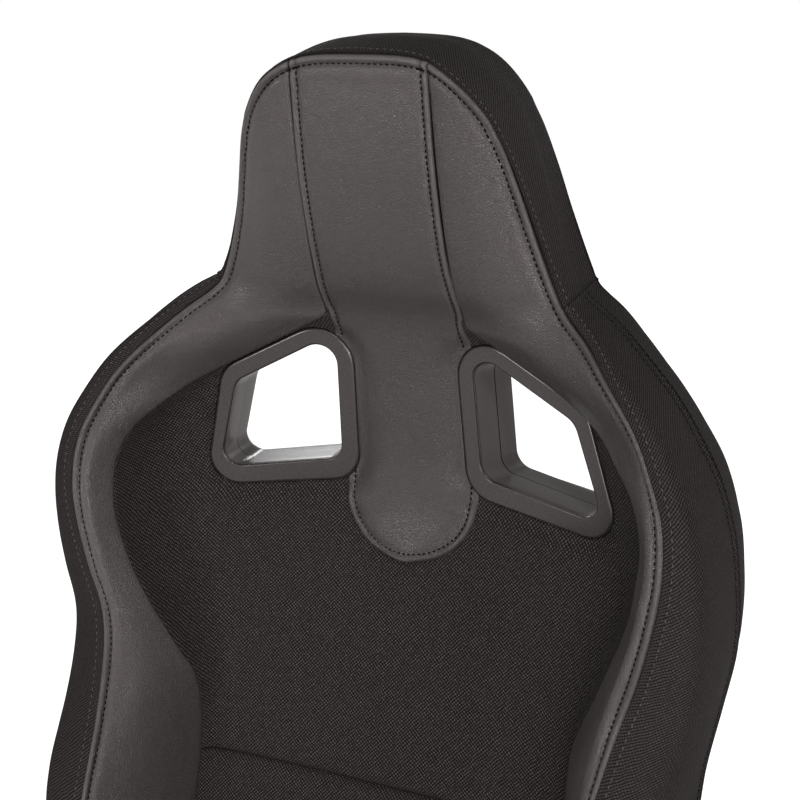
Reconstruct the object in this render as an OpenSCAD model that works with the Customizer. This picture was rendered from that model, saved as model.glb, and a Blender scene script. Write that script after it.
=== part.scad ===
// Reclining sports seat with a high bolstered backrest and two harness slots.
// Millimetres. The seat faces -Y, +X is the viewer's right, +Z is up.
// Origin: the middle of the four floor bolt holes, on the underside of the rails.

/* [Backrest] */
// Height of the recline pivot above the rail base
pivot_z = 205; // [203:0.5:208]
// Recline pivot behind the middle of the floor bolts
pivot_y = 232; // [230:0.5:235]
// Width across the backrest side gussets
back_width = 552; // [542:1:558]
// Foam depth behind the face of the centre panel
pad_depth = 42; // [39:0.5:43]
// Wall of the moulded rear shell
shell_wall = 3; // [2.5:0.1:3.5]
// Gap left between neighbouring trimmed pieces
fit_gap = 0.3; // [0.25:0.05:0.5]

/* [Harness slots] */
// Angle by which each slot plate turns in towards the spine
slot_toe = 10.8; // [9.5:0.1:12]
// Downward angle of the slot tunnel as it runs back
slot_drop = 10; // [8:0.5:12]
// Thickness of the slot plate
bezel_t = 6; // [5:0.5:7]
// Wall of the slot tunnel
tunnel_wall = 2.6; // [2.2:0.1:3]
// Depth from the slot plate to the joint of the two tunnel halves
parting_depth = 30; // [28:1:32]
// Depth from the slot plate to the rear end of the tunnel
tunnel_depth = 54; // [52:1:57]

/* [Cushion] */
// Width across the cushion side gussets
cushion_width = 524; // [516:1:530]
// Front face of the cushion ahead of the middle of the bolts
cushion_front = 322; // [314:1:326]
// Rear end of the cushion behind the middle of the bolts
cushion_rear = 147; // [140:1:148]

/* [Frame] */
// Diameter of the backrest hoop tube
hoop_d = 20; // [18:0.5:22]
// Diameter of the seat cross tubes
cross_d = 22; // [20:0.5:24]
// Thickness of the pressed side plates
plate_t = 3; // [2.5:0.1:3.2]
// Height of the front cross tube centre
front_tube_z = 175; // [172:1:178]
// Height of the rear cross tube centre
rear_tube_z = 140; // [137:1:143]

/* [Rails] */
// Distance between the two rail centre lines
rail_spacing = 385; // [384:0.5:386]
// Distance between the front and rear floor bolts
bolt_pitch = 330; // [320:1:340]
// Diameter of the floor bolt holes
bolt_hole_d = 9; // [8.4:0.1:10]
// Length of the floor rails
rail_length = 450; // [440:1:460]
// Outside width of the floor rails
rail_w = 44; // [43:0.5:45]

/* [Recliner] */
// Radius of the hub that the backrest plates turn on
hub_r = 24; // [22:0.5:25]
// Radius of the recliner sync shaft
shaft_r = 6; // [5:0.25:7]
// Radial running clearance of turning fits
run_fit = 0.05; // [0.03:0.01:0.08]
// Length of the recline lever
lever_len = 138; // [125:1:145]

/* [Hidden] */
$fn = 48;
joint_bite = 0.01;

// Datum of the backrest, level with the lower outer corner of the harness slots: how far
// it lies behind and above the recline pivot.
slot_set = 88;
slot_rise = 435;
back_o = [0, pivot_y + slot_set, pivot_z + slot_rise];
// The stations below are drawn for a back of this width.
drawn_width = 552;
kx = back_width / drawn_width;

// ---- smooth curve through [key, value] stations ----
function seg(T, v, i = 0) = (i >= len(T) - 2 || v < T[i + 1][0]) ? i : seg(T, v, i + 1);
function rate(T, i) = let (a = max(0, i - 1), b = min(len(T) - 1, i + 1))
  (T[b][1] - T[a][1]) / (T[b][0] - T[a][0]);
function sm(T, v) = let (i = seg(T, v), h = T[i + 1][0] - T[i][0],
    u = min(1, max(0, (v - T[i][0]) / h)))
  T[i][1] * (2 * u * u * u - 3 * u * u + 1) + T[i + 1][1] * (3 * u * u - 2 * u * u * u)
  + rate(T, i) * h * (u * u * u - 2 * u * u + u) + rate(T, i + 1) * h * (u * u * u - u * u);

// ---- backrest stations: height above the slot corner, then the size there ----
edge_x = [[-395, 222], [-320, 211], [-250, 206], [-160, 206], [-105, 215], [-50, 231],
  [-10, 240], [25, 244], [60, 240], [88, 227], [110, 213], [130, 194], [152, 169],
  [168, 147], [184, 137.5], [223, 124], [260, 114], [288, 106], [308, 98]];
edge_y = [[-395, -150], [-375, -174], [-345, -200], [-300, -214], [-250, -214],
  [-207, -202], [-150, -166], [-105, -134], [-75, -119], [-40, -115], [0, -110],
  [30, -104], [60, -94], [90, -79], [130, -52], [165, -12], [180, -7], [225, -6],
  [260, -9.5], [308, -17]];
seam_x = [[-395, 182], [-320, 172], [-264, 166], [-185, 164.5], [-150, 167], [-126, 175],
  [-72, 197], [-22, 215], [20, 220.5], [41, 217.5], [59, 208], [75, 190], [87, 173.5],
  [105, 150], [125, 110], [145, 76], [165, 60], [200, 57], [308, 55]];
seam_y = [[-395, -144], [-340, -138], [-300, -122], [-264, -108], [-221, -91],
  [-185, -82], [-150, -82], [-126, -88], [-60, -94], [-22, -90], [0, -87], [20, -80.5],
  [41, -72], [59, -60], [75, -42], [87, -25.7], [105, -12], [125, -2], [146, 3],
  [176, -5], [207, -12], [240, -17], [272, -20], [308, -20]];
mid_y = [[-395, -146], [-375, -151], [-340, -137], [-300, -118], [-222, -83], [-150, -48],
  [-100, -23], [-58, -4], [-20, 12], [20, 19], [80, 20], [125, 15], [150, 8], [176, -4],
  [207, -13], [240, -18], [275, -21], [320, -21], [352, -19]];
flare = [[-220, 0.02], [-100, 0.08], [-30, 0.17], [0, 0.19], [100, 0.19], [150, 0.04],
  [180, 0], [308, 0]];
roll = [[-395, 0.8], [0, 0.9], [60, 1.1], [100, 1.4], [150, 1.5], [200, 1.5], [308, 1.9]];
swell = [[-395, 4], [-300, 10], [-150, 8], [0, 5], [80, 4], [150, 3], [308, 2]];
bulge = [[-395, 40], [-320, 49], [-200, 55], [-150, 52], [-110, 50.5], [-87, 49], [-62, 46],
  [-34, 40.5], [0, 32.5], [60, 20], [110, 15], [150, 9.5], [180, 4], [240, 1.5], [308, 0]];
rear_y = [[-395, -90], [-350, -95], [-300, -98], [-260, -85], [-220, -66], [-183, -41],
  [-150, -10], [-120, 10], [-90, 18], [-60, 19], [100, 18], [160, 44], [240, 61.5],
  [308, 69]];
rear_n = [[-395, 26], [-300, 32], [-200, 36], [-120, 32], [-60, 24], [0, 12], [100, 6],
  [150, 8], [180, 8], [240, 3], [308, -4]];
spine_y = [[-395, -20], [-300, 24], [-222, 58], [-150, 70], [-100, 70], [0, 68], [100, 68],
  [160, 74], [240, 80], [308, 80]];
boxy = [[-395, 9], [-150, 8], [-60, 5], [0, 3.6], [160, 3.4], [308, 2.6]];
dip = [[-395, 0], [-150, 8], [-80, 34], [0, 66], [62, 78], [134, 54], [176, 25], [220, 10],
  [308, 4]];

// Heights of the ribs, from the foot of the backrest to the corner of the headrest.
seam_z = -224;
ribs = concat([-395, -380, -352, -316, -276, -244], [for (d = [-8, -3, 2, 8]) seam_z + d],
  [-196, -168, -140, -112, -84, -56, -28, 0, 22, 42, 60, 75, 87], [98, 109, 120, 131, 142,
  153, 163, 173, 184, 204, 228, 252, 274, 290, 300, 308]);
N = len(ribs) - 1;
split = search(87, ribs)[0];
neck = search(173, ribs)[0];
JS = 5;
M = 9;
crown_h = 44;

function ex(z) = kx * sm(edge_x, z);
function sx(z) = kx * sm(seam_x, z);
// The crown arches by crown_h between crown_z and top_rib.
crown_z = 200;
top_rib = 308;
function lift(z) = z > crown_z ? crown_h * pow((z - crown_z) / (top_rib - crown_z), 2) : 0;
groove_depth = 4;
groove_w = 5;
function groove(z) = groove_depth * exp(-pow((z - seam_z) / groove_w, 2));
// Face of the centre panel at a distance x from the spine: flat in the middle, then flared
// forward, and drawn back into the seam at its edge.
flat_half = 45;
function face_y(x, z) = let (s = sx(z), a = asin(min(1, x / s)) / 90, f = sm(flare, z),
    c = sm(mid_y, z + lift(z)), b0 = c - f * max(0, x - flat_half), bs = c - f * max(0, s - flat_half))
  b0 + (sm(seam_y, z) - bs) * pow(a, 5) + groove(z) * (1 - pow(a, 8));
function col_x(z, j) = j <= JS ? sx(z) * sin(90 * j / JS)
  : sx(z) + (ex(z) - sx(z)) * (j - JS) / (M - JS);
function col_y(z, j) = j <= JS ? face_y(col_x(z, j), z)
  : let (b = (j - JS) / (M - JS)) sm(seam_y, z)
    + (sm(edge_y, z) - sm(seam_y, z)) * pow(b, sm(roll, z)) - sm(swell, z) * sin(180 * b);
arch = 3.8;
function col_z(z, x) = z + lift(z) * (1 - pow(x / ex(z), arch));
function front_pt(z, j) = let (k = abs(j), x = col_x(z, k))
  [j < 0 ? -x : x, col_y(z, k), col_z(z, x)];
// Rear of the foam: hollowed towards the edges to make room for the hoop.
dip_limit = 12;
function back_pt(z, j) = let (k = abs(j), x = col_x(z, k), c = sm(mid_y, z + lift(z)))
  [j < 0 ? -x : x, max(c + pad_depth - sm(dip, z) * pow(x / ex(z), 2), c - dip_limit),
   col_z(z, x)];

// ---- solids from point grids ----
// Closed solid between two grids of the same size.
module sheet(F, B) {
  r = len(F);
  c = len(F[0]);
  n = r * c;
  polyhedron(points = concat([for (row = F) for (p = row) p], [for (row = B) for (p = row) p]),
    faces = concat(
      [for (i = [0:r - 2]) for (j = [0:c - 2]) [i * c + j, i * c + c + j + 1, i * c + j + 1]],
      [for (i = [0:r - 2]) for (j = [0:c - 2]) [i * c + j, i * c + c + j, i * c + c + j + 1]],
      [for (i = [0:r - 2]) for (j = [0:c - 2])
        [n + i * c + j, n + i * c + j + 1, n + i * c + c + j + 1]],
      [for (i = [0:r - 2]) for (j = [0:c - 2])
        [n + i * c + j, n + i * c + c + j + 1, n + i * c + c + j]],
      [for (j = [0:c - 2]) [j + 1, n + j, j]],
      [for (j = [0:c - 2]) [j + 1, n + j + 1, n + j]],
      [for (j = [0:c - 2]) let (k = (r - 1) * c + j) [k, n + k + 1, k + 1]],
      [for (j = [0:c - 2]) let (k = (r - 1) * c + j) [k, n + k, n + k + 1]],
      [for (i = [0:r - 2]) let (k = i * c) [k, n + k + c, k + c]],
      [for (i = [0:r - 2]) let (k = i * c) [k, n + k, n + k + c]],
      [for (i = [0:r - 2]) let (k = i * c + c - 1) [k + c, n + k, k]],
      [for (i = [0:r - 2]) let (k = i * c + c - 1) [k + c, n + k + c, n + k]]),
    convexity = 8);
}
// Closed solid through a list of closed sections.
module loft(S) {
  r = len(S);
  c = len(S[0]);
  polyhedron(points = [for (s = S) for (p = s) p], faces = concat(
      [[for (j = [0:c - 1]) j]],
      [[for (j = [c - 1:-1:0]) (r - 1) * c + j]],
      [for (i = [0:r - 2]) for (j = [0:c - 1]) let (k = (j + 1) % c)
        [i * c + k, i * c + j, (i + 1) * c + j]],
      [for (i = [0:r - 2]) for (j = [0:c - 1]) let (k = (j + 1) % c)
        [i * c + k, (i + 1) * c + j, (i + 1) * c + k]]), convexity = 8);
}
// Round bar bent along a path.
function unit(v) = v / norm(v);
function tang(P, i) = unit(P[min(len(P) - 1, i + 1)] - P[max(0, i - 1)]);
module bar(P, r, n = 10, ref = [0, 1, 0]) {
  loft([for (i = [0:len(P) - 1]) let (t = tang(P, i), a = unit(cross(t, ref)),
    b = cross(t, a)) [for (k = [0:n - 1]) P[i] + r * (cos(360 * k / n) * a
    + sin(360 * k / n) * b)]]);
}
// Path with its corners turned into bends of radius R.
function bend(P, R, m = 4) = concat([P[0]], [for (i = [1:len(P) - 2])
  let (u = unit(P[i - 1] - P[i]), v = unit(P[i + 1] - P[i]), w = acos(u * v) / 2,
    d = min(R / tan(w), 0.48 * norm(P[i - 1] - P[i]), 0.48 * norm(P[i + 1] - P[i])))
  for (k = [0:m]) let (s = k / m, a = P[i] + u * d, b = P[i] + v * d)
    a * (1 - s) * (1 - s) + P[i] * 2 * s * (1 - s) + b * s * s], [P[len(P) - 1]]);
module mirrored(side) {
  if (side > 0)
    children();
  else
    mirror([1, 0, 0]) children();
}
// Plate whose outline is drawn in the YZ plane, from x = a to x = b.
module yz_plate(a, b) {
  translate([a, 0, 0]) rotate([90, 0, 90]) linear_extrude(b - a) children();
}
module x_rod(r, a, b) {
  translate([a, 0, 0]) rotate([0, 90, 0]) cylinder(r = r, h = b - a);
}

// ---- outlines with rounded corners ----
function edge_n(P, i) = let (q = P[(i + 1) % len(P)] - P[i]) unit([q[1], -q[0]]);
function grow(P, d) = [for (i = [0:len(P) - 1])
  let (a = edge_n(P, (i + len(P) - 1) % len(P)), b = edge_n(P, i))
  P[i] + d * (a + b) / (1 + a * b)];
function rounded(P, R, m = 5) = [for (i = [0:len(P) - 1])
  let (u = unit(P[(i + len(P) - 1) % len(P)] - P[i]), v = unit(P[(i + 1) % len(P)] - P[i]),
    w = acos(u * v) / 2, c = P[i] + unit(u + v) * R[i] / sin(w), t0 = P[i] + u * R[i] / tan(w),
    t1 = P[i] + v * R[i] / tan(w), a0 = atan2(t0[1] - c[1], t0[0] - c[0]),
    s0 = atan2(t1[1] - c[1], t1[0] - c[0]) - a0, s = s0 > 180 ? s0 - 360 : s0 < -180 ? s0 + 360 : s0)
  for (k = [0:m]) c + R[i] * [cos(a0 + s * k / m), sin(a0 + s * k / m)]];

// ---- harness slots ----
// Corners of the opening, counter-clockwise from the lower outer one.
slot_in = [[1.7, 3.5], [-21.5, 80.7], [-111, 124.5], [-106.9, 17.5]];
slot_out = [[18.3, -15], [-10.5, 93.4], [-126.1, 149.4], [-121.2, -0.6]];
slot_r_in = [13, 17, 16, 14];
slot_r_out = [24, 28, 31, 25];
slot_org = back_o + [kx * 167, -5.2, 0];
module slot_frame() {
  translate(slot_org) rotate([0, 0, -slot_toe]) children();
}
// Prism square to the slot plate, from depth a to depth b.
module plate_prism(P, a, b) {
  slot_frame() translate([0, b, 0]) rotate([90, 0, 0]) linear_extrude(b - a) polygon(P);
}
// Prism along the slot tunnel.
module tunnel_prism(P, a, b) {
  slot_frame() rotate([-slot_drop, 0, 0]) translate([0, b, 0]) rotate([90, 0, 0])
    linear_extrude(b - a) polygon(P);
}
// Layer parallel to the slot plate, wider than the plate all round.
module slab(a, b) {
  room = 80;
  w = slot_out[0][0] - slot_out[2][0] + 2 * room;
  h = slot_out[2][1] - slot_out[0][1] + 2 * room;
  slot_frame() translate([slot_out[2][0] - room, a, slot_out[0][1] - room])
    cube([w, b - a, h]);
}
in_pts = rounded(slot_in, slot_r_in);
wall_pts = rounded(grow(slot_in, tunnel_wall), [for (r = slot_r_in) r + tunnel_wall]);
clear_pts = rounded(grow(slot_in, tunnel_wall + fit_gap),
  [for (r = slot_r_in) r + tunnel_wall + fit_gap]);
out_pts = rounded(slot_out, slot_r_out);
pocket_pts = rounded(grow(slot_out, fit_gap), [for (r = slot_r_out) r + fit_gap]);
// Everything a soft piece gives up for the slot in one side, from slot_reach in front.
slot_reach = 75;
module slot_room() {
  tunnel_prism(clear_pts, -slot_reach, 2 * slot_reach);
  plate_prism(pocket_pts, -slot_reach, bezel_t);
}
module slot_rooms() {
  slot_room();
  mirror([1, 0, 0]) slot_room();
}
// Width and depth of the broken edges of the plate.
edge_cut = 1.2;
module slot_bezel(side) {
  color([0.05, 0.05, 0.05]) mirrored(side) difference() {
    union() {
      plate_prism(out_pts, edge_cut, bezel_t);
      plate_prism(rounded(grow(slot_out, -edge_cut), [for (r = slot_r_out) r - edge_cut]),
        0, 2 * edge_cut);
      intersection() {
        tunnel_prism(wall_pts, -slot_reach, slot_reach);
        slab(bezel_t - 1, parting_depth);
      }
    }
    tunnel_prism(in_pts, -slot_reach, slot_reach);
    plate_prism(rounded(grow(slot_in, edge_cut), [for (r = slot_r_in) r + edge_cut]),
      -edge_cut, edge_cut);
  }
}
// The rear half of the tunnel is wider inside than the front half by this step.
tunnel_step = 0.6;
module slot_tunnel(side) {
  color([0.06, 0.06, 0.06]) mirrored(side) difference() {
    intersection() {
      tunnel_prism(wall_pts, 0, 2 * slot_reach);
      slab(parting_depth, tunnel_depth);
    }
    tunnel_prism(rounded(grow(slot_in, tunnel_step), [for (r = slot_r_in) r + tunnel_step]),
      0, 2 * slot_reach);
  }
}

// ---- backrest soft pieces ----
module pad(z0, z1, j0, j1) {
  translate(back_o) sheet([for (i = [z0:z1]) [for (j = [j0:j1]) front_pt(ribs[i], j)]],
    [for (i = [z0:z1]) [for (j = [j0:j1]) back_pt(ribs[i], j)]]);
}
module back_insert() {
  color([0.12, 0.11, 0.11]) difference() {
    pad(0, split, -JS, JS);
    slot_rooms();
  }
}
module back_bolster(side) {
  color([0.28, 0.27, 0.27]) mirrored(side) pad(0, split, JS, M);
}
module headrest_pad() {
  color([0.29, 0.28, 0.28]) difference() {
    pad(split, N, -M, M);
    slot_rooms();
  }
}
// Height-to-height straight surface of the panel near the spine, as its ribs make it.
function rib_below(z, i = 0) = ribs[i + 1] > z || i >= N - 1 ? i : rib_below(z, i + 1);
function rib_y(i, x) = let (z = ribs[i], y0 = col_y(z, 0))
  y0 + (col_y(z, 1) - y0) * x / col_x(z, 1);
function panel_y(x, z) = let (i = rib_below(z), u = (z - ribs[i]) / (ribs[i + 1] - ribs[i]))
  rib_y(i, x) * (1 - u) + rib_y(i + 1, x) * u;
tongue_w = kx * 57;
tongue_t = 2;
tongue_z = -9;
tongue_r = 49;
module back_tongue() {
  zs = concat([for (a = [8, 23, 37, 51]) tongue_z - tongue_r * cos(a)],
    [for (z = ribs) if (z > -30 && z < 80) z], [87 - fit_gap]);
  function hw(z) = z > tongue_z ? tongue_w
    : tongue_w * sqrt(1 - pow((tongue_z - z) / tongue_r, 2));
  function tp(z, k, d) = let (x = hw(z) * sin(22.5 * k)) [x, panel_y(abs(x), z) - d, z];
  color([0.30, 0.29, 0.29]) difference() {
    translate(back_o) sheet([for (z = zs) [for (k = [-4:4])
        tp(z, k, fit_gap + tongue_t * (abs(k) == 4 ? 0.5 : 1))]],
      [for (z = zs) [for (k = [-4:4]) tp(z, k, fit_gap)]]);
    slot_rooms();
  }
}

// Outline of the leather edge: up the ribs, then over the top to the spine.
K = N + M;
function rim(k) = k <= N ? front_pt(ribs[k], M) : front_pt(ribs[N], M - (k - N));
function rim_n(k) = k == K ? [0, 0, 1]
  : let (a = rim(max(0, k - 1)), b = rim(k + 1), t = unit([b[0] - a[0], b[2] - a[2]]))
  k == 0 ? [1, 0, 0] : [t[1], 0, -t[0]];
function rim_z(k) = ribs[min(k, N)];
function over(k) = k <= N ? 0 : (k - N) / M;
// How far the inner edge of a gusset's rear face stands off the sloping shell.
function lip_set(z) = z > 90 ? 3.2 : 0;
function gus(k) = let (p = rim(k), n = rim_n(k), z = rim_z(k), g = sm(bulge, z) + 3 * over(k),
    y0 = p[1], yr = sm(rear_y, z) - fit_gap / 2, m = sm(rear_n, z) - 3 * over(k),
    th = z < -100 ? m : min(max(m, 0) + 10, 10 + max(0, (-z - 40) / 60) * (m - 10)),
    yk = min(max(back_pt(z, M - max(0, k - N))[1], y0 + 12), yr - 6),
    q = [[0, yk], [0, y0], [0.5 * g, y0 + 0.06 * g], [0.86 * g, y0 + 0.32 * g], [g, y0 + 0.75 * g + 4],
      [g + 2, (y0 + yr) / 2], [g, yr - 24], [m + 0.75 * (g - m), yr - 7], [m, yr],
      [m - th, yr - lip_set(z)]])
  [for (c = q) [p[0] + n[0] * c[0], c[1], p[2] + n[2] * c[0]]];
module back_gusset(side) {
  color([0.13, 0.12, 0.12]) mirrored(side) translate(back_o) loft([for (k = [0:neck]) gus(k)]);
}
function hoop_sec(k) = k <= K ? gus(k) : [for (p = gus(2 * K - k)) [-p[0], p[1], p[2]]];
module headrest_gusset() {
  color([0.13, 0.12, 0.12]) translate(back_o)
    loft([for (k = [neck:2 * K - neck]) hoop_sec(k)]);
}

// Rear shell: a moulded tray whose rim backs the side gussets. It closes over the top
// between shell_top and top_rib.
SC = 7;
shell_top = 240;
function shell_pt(k, j, inner) = let (z = ribs[k], c = sin(90 * abs(j) / SC), n = rim_n(k),
    p = rim(k), m = sm(rear_n, z), bx = p[0] + n[0] * m, bz = p[2] + n[2] * m,
    yb = sm(rear_y, z), u = max(0, (z - shell_top) / (top_rib - shell_top)),
    d = (sm(spine_y, z) - yb) * sqrt(1 - min(1, u * u)),
    w = max(pow(c, 4), pow(u, 3)), y = yb + d * (1 - pow(c, sm(boxy, z))), t = inner ? shell_wall : 0,
    nz = (k == N) ? n[2] * c + (1 - c) : n[2] * c)
  [(j < 0 ? -1 : 1) * (bx * c - t * w * (k == N ? n[0] * c : 1)), y - t * (1 - w),
   bz + lift(z) * (1 - pow(c, arch)) - t * w * (k == N ? nz : 0)];
module rear_shell() {
  color([0.07, 0.07, 0.075]) difference() {
    translate(back_o) sheet([for (k = [0:N]) [for (j = [-SC:SC]) shell_pt(k, j, true)]],
      [for (k = [0:N]) [for (j = [-SC:SC]) shell_pt(k, j, false)]]);
    for (s = [0, 1]) mirror([s, 0, 0]) tunnel_prism(clear_pts, parting_depth, 2 * slot_reach);
  }
}

// ---- backrest frame ----
// The backrest plates stand inside the seat frame, or inside the bolsters where these are
// narrower, and the recliner hubs bridge what is left.
frame_x = rail_spacing / 2 - 4;
waist_z = -222;
plate_x = min(frame_x, ex(waist_z) - 17.5);
side_in = frame_x + plate_t + 1.2;
module at_pivot(x) {
  translate([x, pivot_y, pivot_z]) rotate([0, 90, 0]) children();
}
// Pressed plate that carries the backrest on the recliner hub.
boss_w = 14;
light_r = 9;
module back_plate(side) {
  color([0.16, 0.16, 0.17]) mirrored(side) difference() {
    union() {
      yz_plate(plate_x, plate_x + plate_t) polygon([for (p = [[-8, 34], [28, 28], [50, 46],
        [58, 100], [84, 190], [84, 236], [61, 236], [50, 190], [4, 100], [-6, 60]])
        [pivot_y + p[0], pivot_z + p[1]]]);
      at_pivot(plate_x) cylinder(r = hub_r + boss_w, h = plate_t);
    }
    at_pivot(plate_x - 1) cylinder(r = hub_r + run_fit, h = plate_t + 2);
    for (p = [[24, 88], [46, 142]])
      translate([plate_x - 1, pivot_y + p[0], pivot_z + p[1]]) rotate([0, 90, 0])
        cylinder(r = light_r, h = plate_t + 2);
  }
}
hoop_x = plate_x - hoop_d / 2 - 0.2;
hoop_out = ex(0) - 18 - hoop_d / 2;
hoop_run = [[hoop_x, -22, -304], [hoop_x, 14, -222], [hoop_x, 24, -180], [hoop_out, 27, -70],
  [hoop_out, 19, 62], [kx * 150, 35, 134], [kx * 96, 45, 176], [kx * 80, 47, 220],
  [kx * 76, 44, 292]];
// Axis of the hoop's leg at a height below its shoulder.
function leg_x(z) = hoop_x + (hoop_out - hoop_x) * min(1, max(0, (z + 180) / 110));
module hoop_tube() {
  P = bend(concat(hoop_run, [for (i = [len(hoop_run) - 1:-1:0])
    [-hoop_run[i][0], hoop_run[i][1], hoop_run[i][2]]]), 40, 3);
  color([0.16, 0.16, 0.17]) translate(back_o) bar(P, hoop_d / 2, 10, [0, 1, 0.001]);
}
// Two pressed crossbars, welded to the hoop.
bar_lo = [-8, -272];
bar_hi = [27, -130];
bar_t = 3;
bar_w = 14;
bar_lip = 12;
bar_bite = 2;
module lumbar_bars() {
  color([0.16, 0.16, 0.17]) translate(back_o) {
    crossbar(bar_lo, leg_x(bar_lo[1]) - hoop_d / 2 + bar_bite);
    crossbar(bar_hi, leg_x(bar_hi[1]) - hoop_d / 2 + bar_bite);
  }
}
module crossbar(p, x) {
  translate([-x, p[0] - bar_w / 2, p[1]]) cube([2 * x, bar_w, bar_t]);
  translate([-x, p[0] - bar_w / 2, p[1] - bar_lip]) cube([2 * x, bar_t, bar_lip + bar_t / 2]);
}
// Zigzag support wires, hooked into both crossbars.
wire_r = 1.7;
wire_x = 70;
wire_wave = 26;
module lumbar_wires() {
  h = bar_hi[1] - bar_lo[1];
  color([0.45, 0.45, 0.46]) translate(back_o) for (s = [-1, 1])
    bar([for (i = [0:24]) let (c = i / 24)
      [s * kx * (wire_x + wire_wave * sin(360 * i / 8)), bar_lo[0] - bar_t + (bar_hi[0] - bar_lo[0]) * c,
       bar_lo[1] + 1 + h * c]], wire_r, 6, [0, 1, 0.3]);
}
// Posts that hold the rear shell off the hoop.
clip_at = [[hoop_out, 24, -20], [hoop_out, 20.3, 40], [kx * 79, 46, 236]];
clip_r = 7;
clip_bite = 1;
module shell_clips() {
  color([0.09, 0.09, 0.09]) translate(back_o) for (s = [-1, 1]) for (p = clip_at)
    translate([s * p[0], p[1] + hoop_d / 2 - clip_bite, p[2]]) rotate([-90, 0, 0])
      cylinder(r = clip_r, h = clip_end(p) - p[1] - hoop_d / 2 + clip_bite);
}
// Depth of the shell's inner face at a point, less a short bite.
function clip_end(p) = let (z = p[2], n = ex(z) + sm(rear_n, z), c = p[0] / n, yb = sm(rear_y, z))
  yb + (sm(spine_y, z) - yb) * (1 - pow(c, sm(boxy, z))) - clip_bite;

// ---- recliner ----
hub_x0 = plate_x - 4;
rim_w = 6;
rim_t = 3;
module recliner_hub(side) {
  color([0.35, 0.35, 0.37]) mirrored(side) difference() {
    union() {
      at_pivot(hub_x0) cylinder(r = hub_r, h = side_in - hub_x0);
      at_pivot(hub_x0 - rim_t) cylinder(r = hub_r + rim_w, h = rim_t + 0.6);
    }
    at_pivot(hub_x0 - 2 * rim_t) cylinder(r = shaft_r + run_fit, h = side_in - hub_x0 + 4 * rim_t);
  }
}
trim_x = cushion_width / 2 - 14;
lever_x = trim_x + 1.5;
arm_x = cushion_width / 2 + 3;
shaft_in = 9;
module sync_shaft() {
  color([0.4, 0.4, 0.42]) at_pivot(-lever_x - shaft_in)
    cylinder(r = shaft_r, h = 2 * (lever_x + shaft_in));
}
// Hub on the shaft and an arm that runs forward and down, clear of the cushion.
lever_hub_r = 17;
lever_t = 9;
grip_t = 12;
module recline_lever(side) {
  droop = 22;
  color([0.06, 0.06, 0.06]) mirrored(side) difference() {
    union() {
      at_pivot(lever_x) cylinder(r = lever_hub_r, h = arm_x - lever_x + grip_t + 1);
      translate([arm_x, pivot_y, pivot_z]) rotate([droop, 0, 0]) {
        yz_plate(0, lever_t) polygon(rounded([[0, 13], [-lever_len, 11], [-lever_len, -12], [0, -13]],
          [6, 10, 10, 6]));
        yz_plate(1, grip_t) polygon(rounded([[-lever_len * 0.45, 9], [-lever_len + 5, 7],
          [-lever_len + 5, -8], [-lever_len * 0.45, -9]], [4, 7, 7, 4]));
      }
    }
    at_pivot(lever_x - 1) cylinder(r = shaft_r, h = shaft_in + 1);
  }
}

// ---- seat frame ----
pan_t = 2;
pan_z0 = front_tube_z + cross_d / 2 + 0.1;
pan_z1 = rear_tube_z + cross_d / 2 + 0.1;
front_tube_y = -270;
rear_tube_y = 120;
function pan_z(y) = pan_z0 + (pan_z1 - pan_z0) * (y - front_tube_y) / (rear_tube_y - front_tube_y);
function seat_z(y) = pan_z(y) + pan_t + fit_gap / 2;
rail_top = 41;
bolt_y = 132;
bolt_in = 11;
pan_hole_r = 26;
hook_drop = 9;
hook_t = 3;
module seat_pan() {
  pan_a = -cushion_front + 8;
  pan_b = min(cushion_rear - 4, pivot_y - hub_r - 60);
  w = cushion_width / 2 - 22;
  color([0.14, 0.14, 0.15]) difference() {
    union() {
      intersection() {
        yz_plate(-w, w) polygon([[pan_a, pan_z(pan_a)], [pan_b, pan_z(pan_b)],
          [pan_b, pan_z(pan_b) + pan_t], [pan_a, pan_z(pan_a) + pan_t]]);
        translate([0, 0, 100]) linear_extrude(150) polygon(rounded([[-w, pan_a], [w, pan_a],
          [w, pan_b], [-w, pan_b]], [60, 60, 12, 12]));
      }
      for (y = [front_tube_y, rear_tube_y])
        yz_plate(-150, 150) polygon([for (p = [[-2 * hook_t, 0], [-2 * hook_t, -hook_drop],
          [-hook_t, -hook_drop], [-hook_t, 1]]) let (v = y - cross_d / 2 + p[0])
          [v, pan_z(v) + p[1] + 0.2]]);
    }
    for (x = [-120, 0, 120]) for (y = [-180, -60, 50])
      translate([x, y, 100]) cylinder(r = pan_hole_r, h = 150);
  }
}
tube_wall = 2;
module cross_tube(y, z) {
  color([0.16, 0.16, 0.17]) difference() {
    translate([0, y, z]) x_rod(cross_d / 2, -side_in, side_in);
    translate([0, y, z]) x_rod(cross_d / 2 - tube_wall, -side_in - 1, side_in + 1);
  }
}
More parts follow.
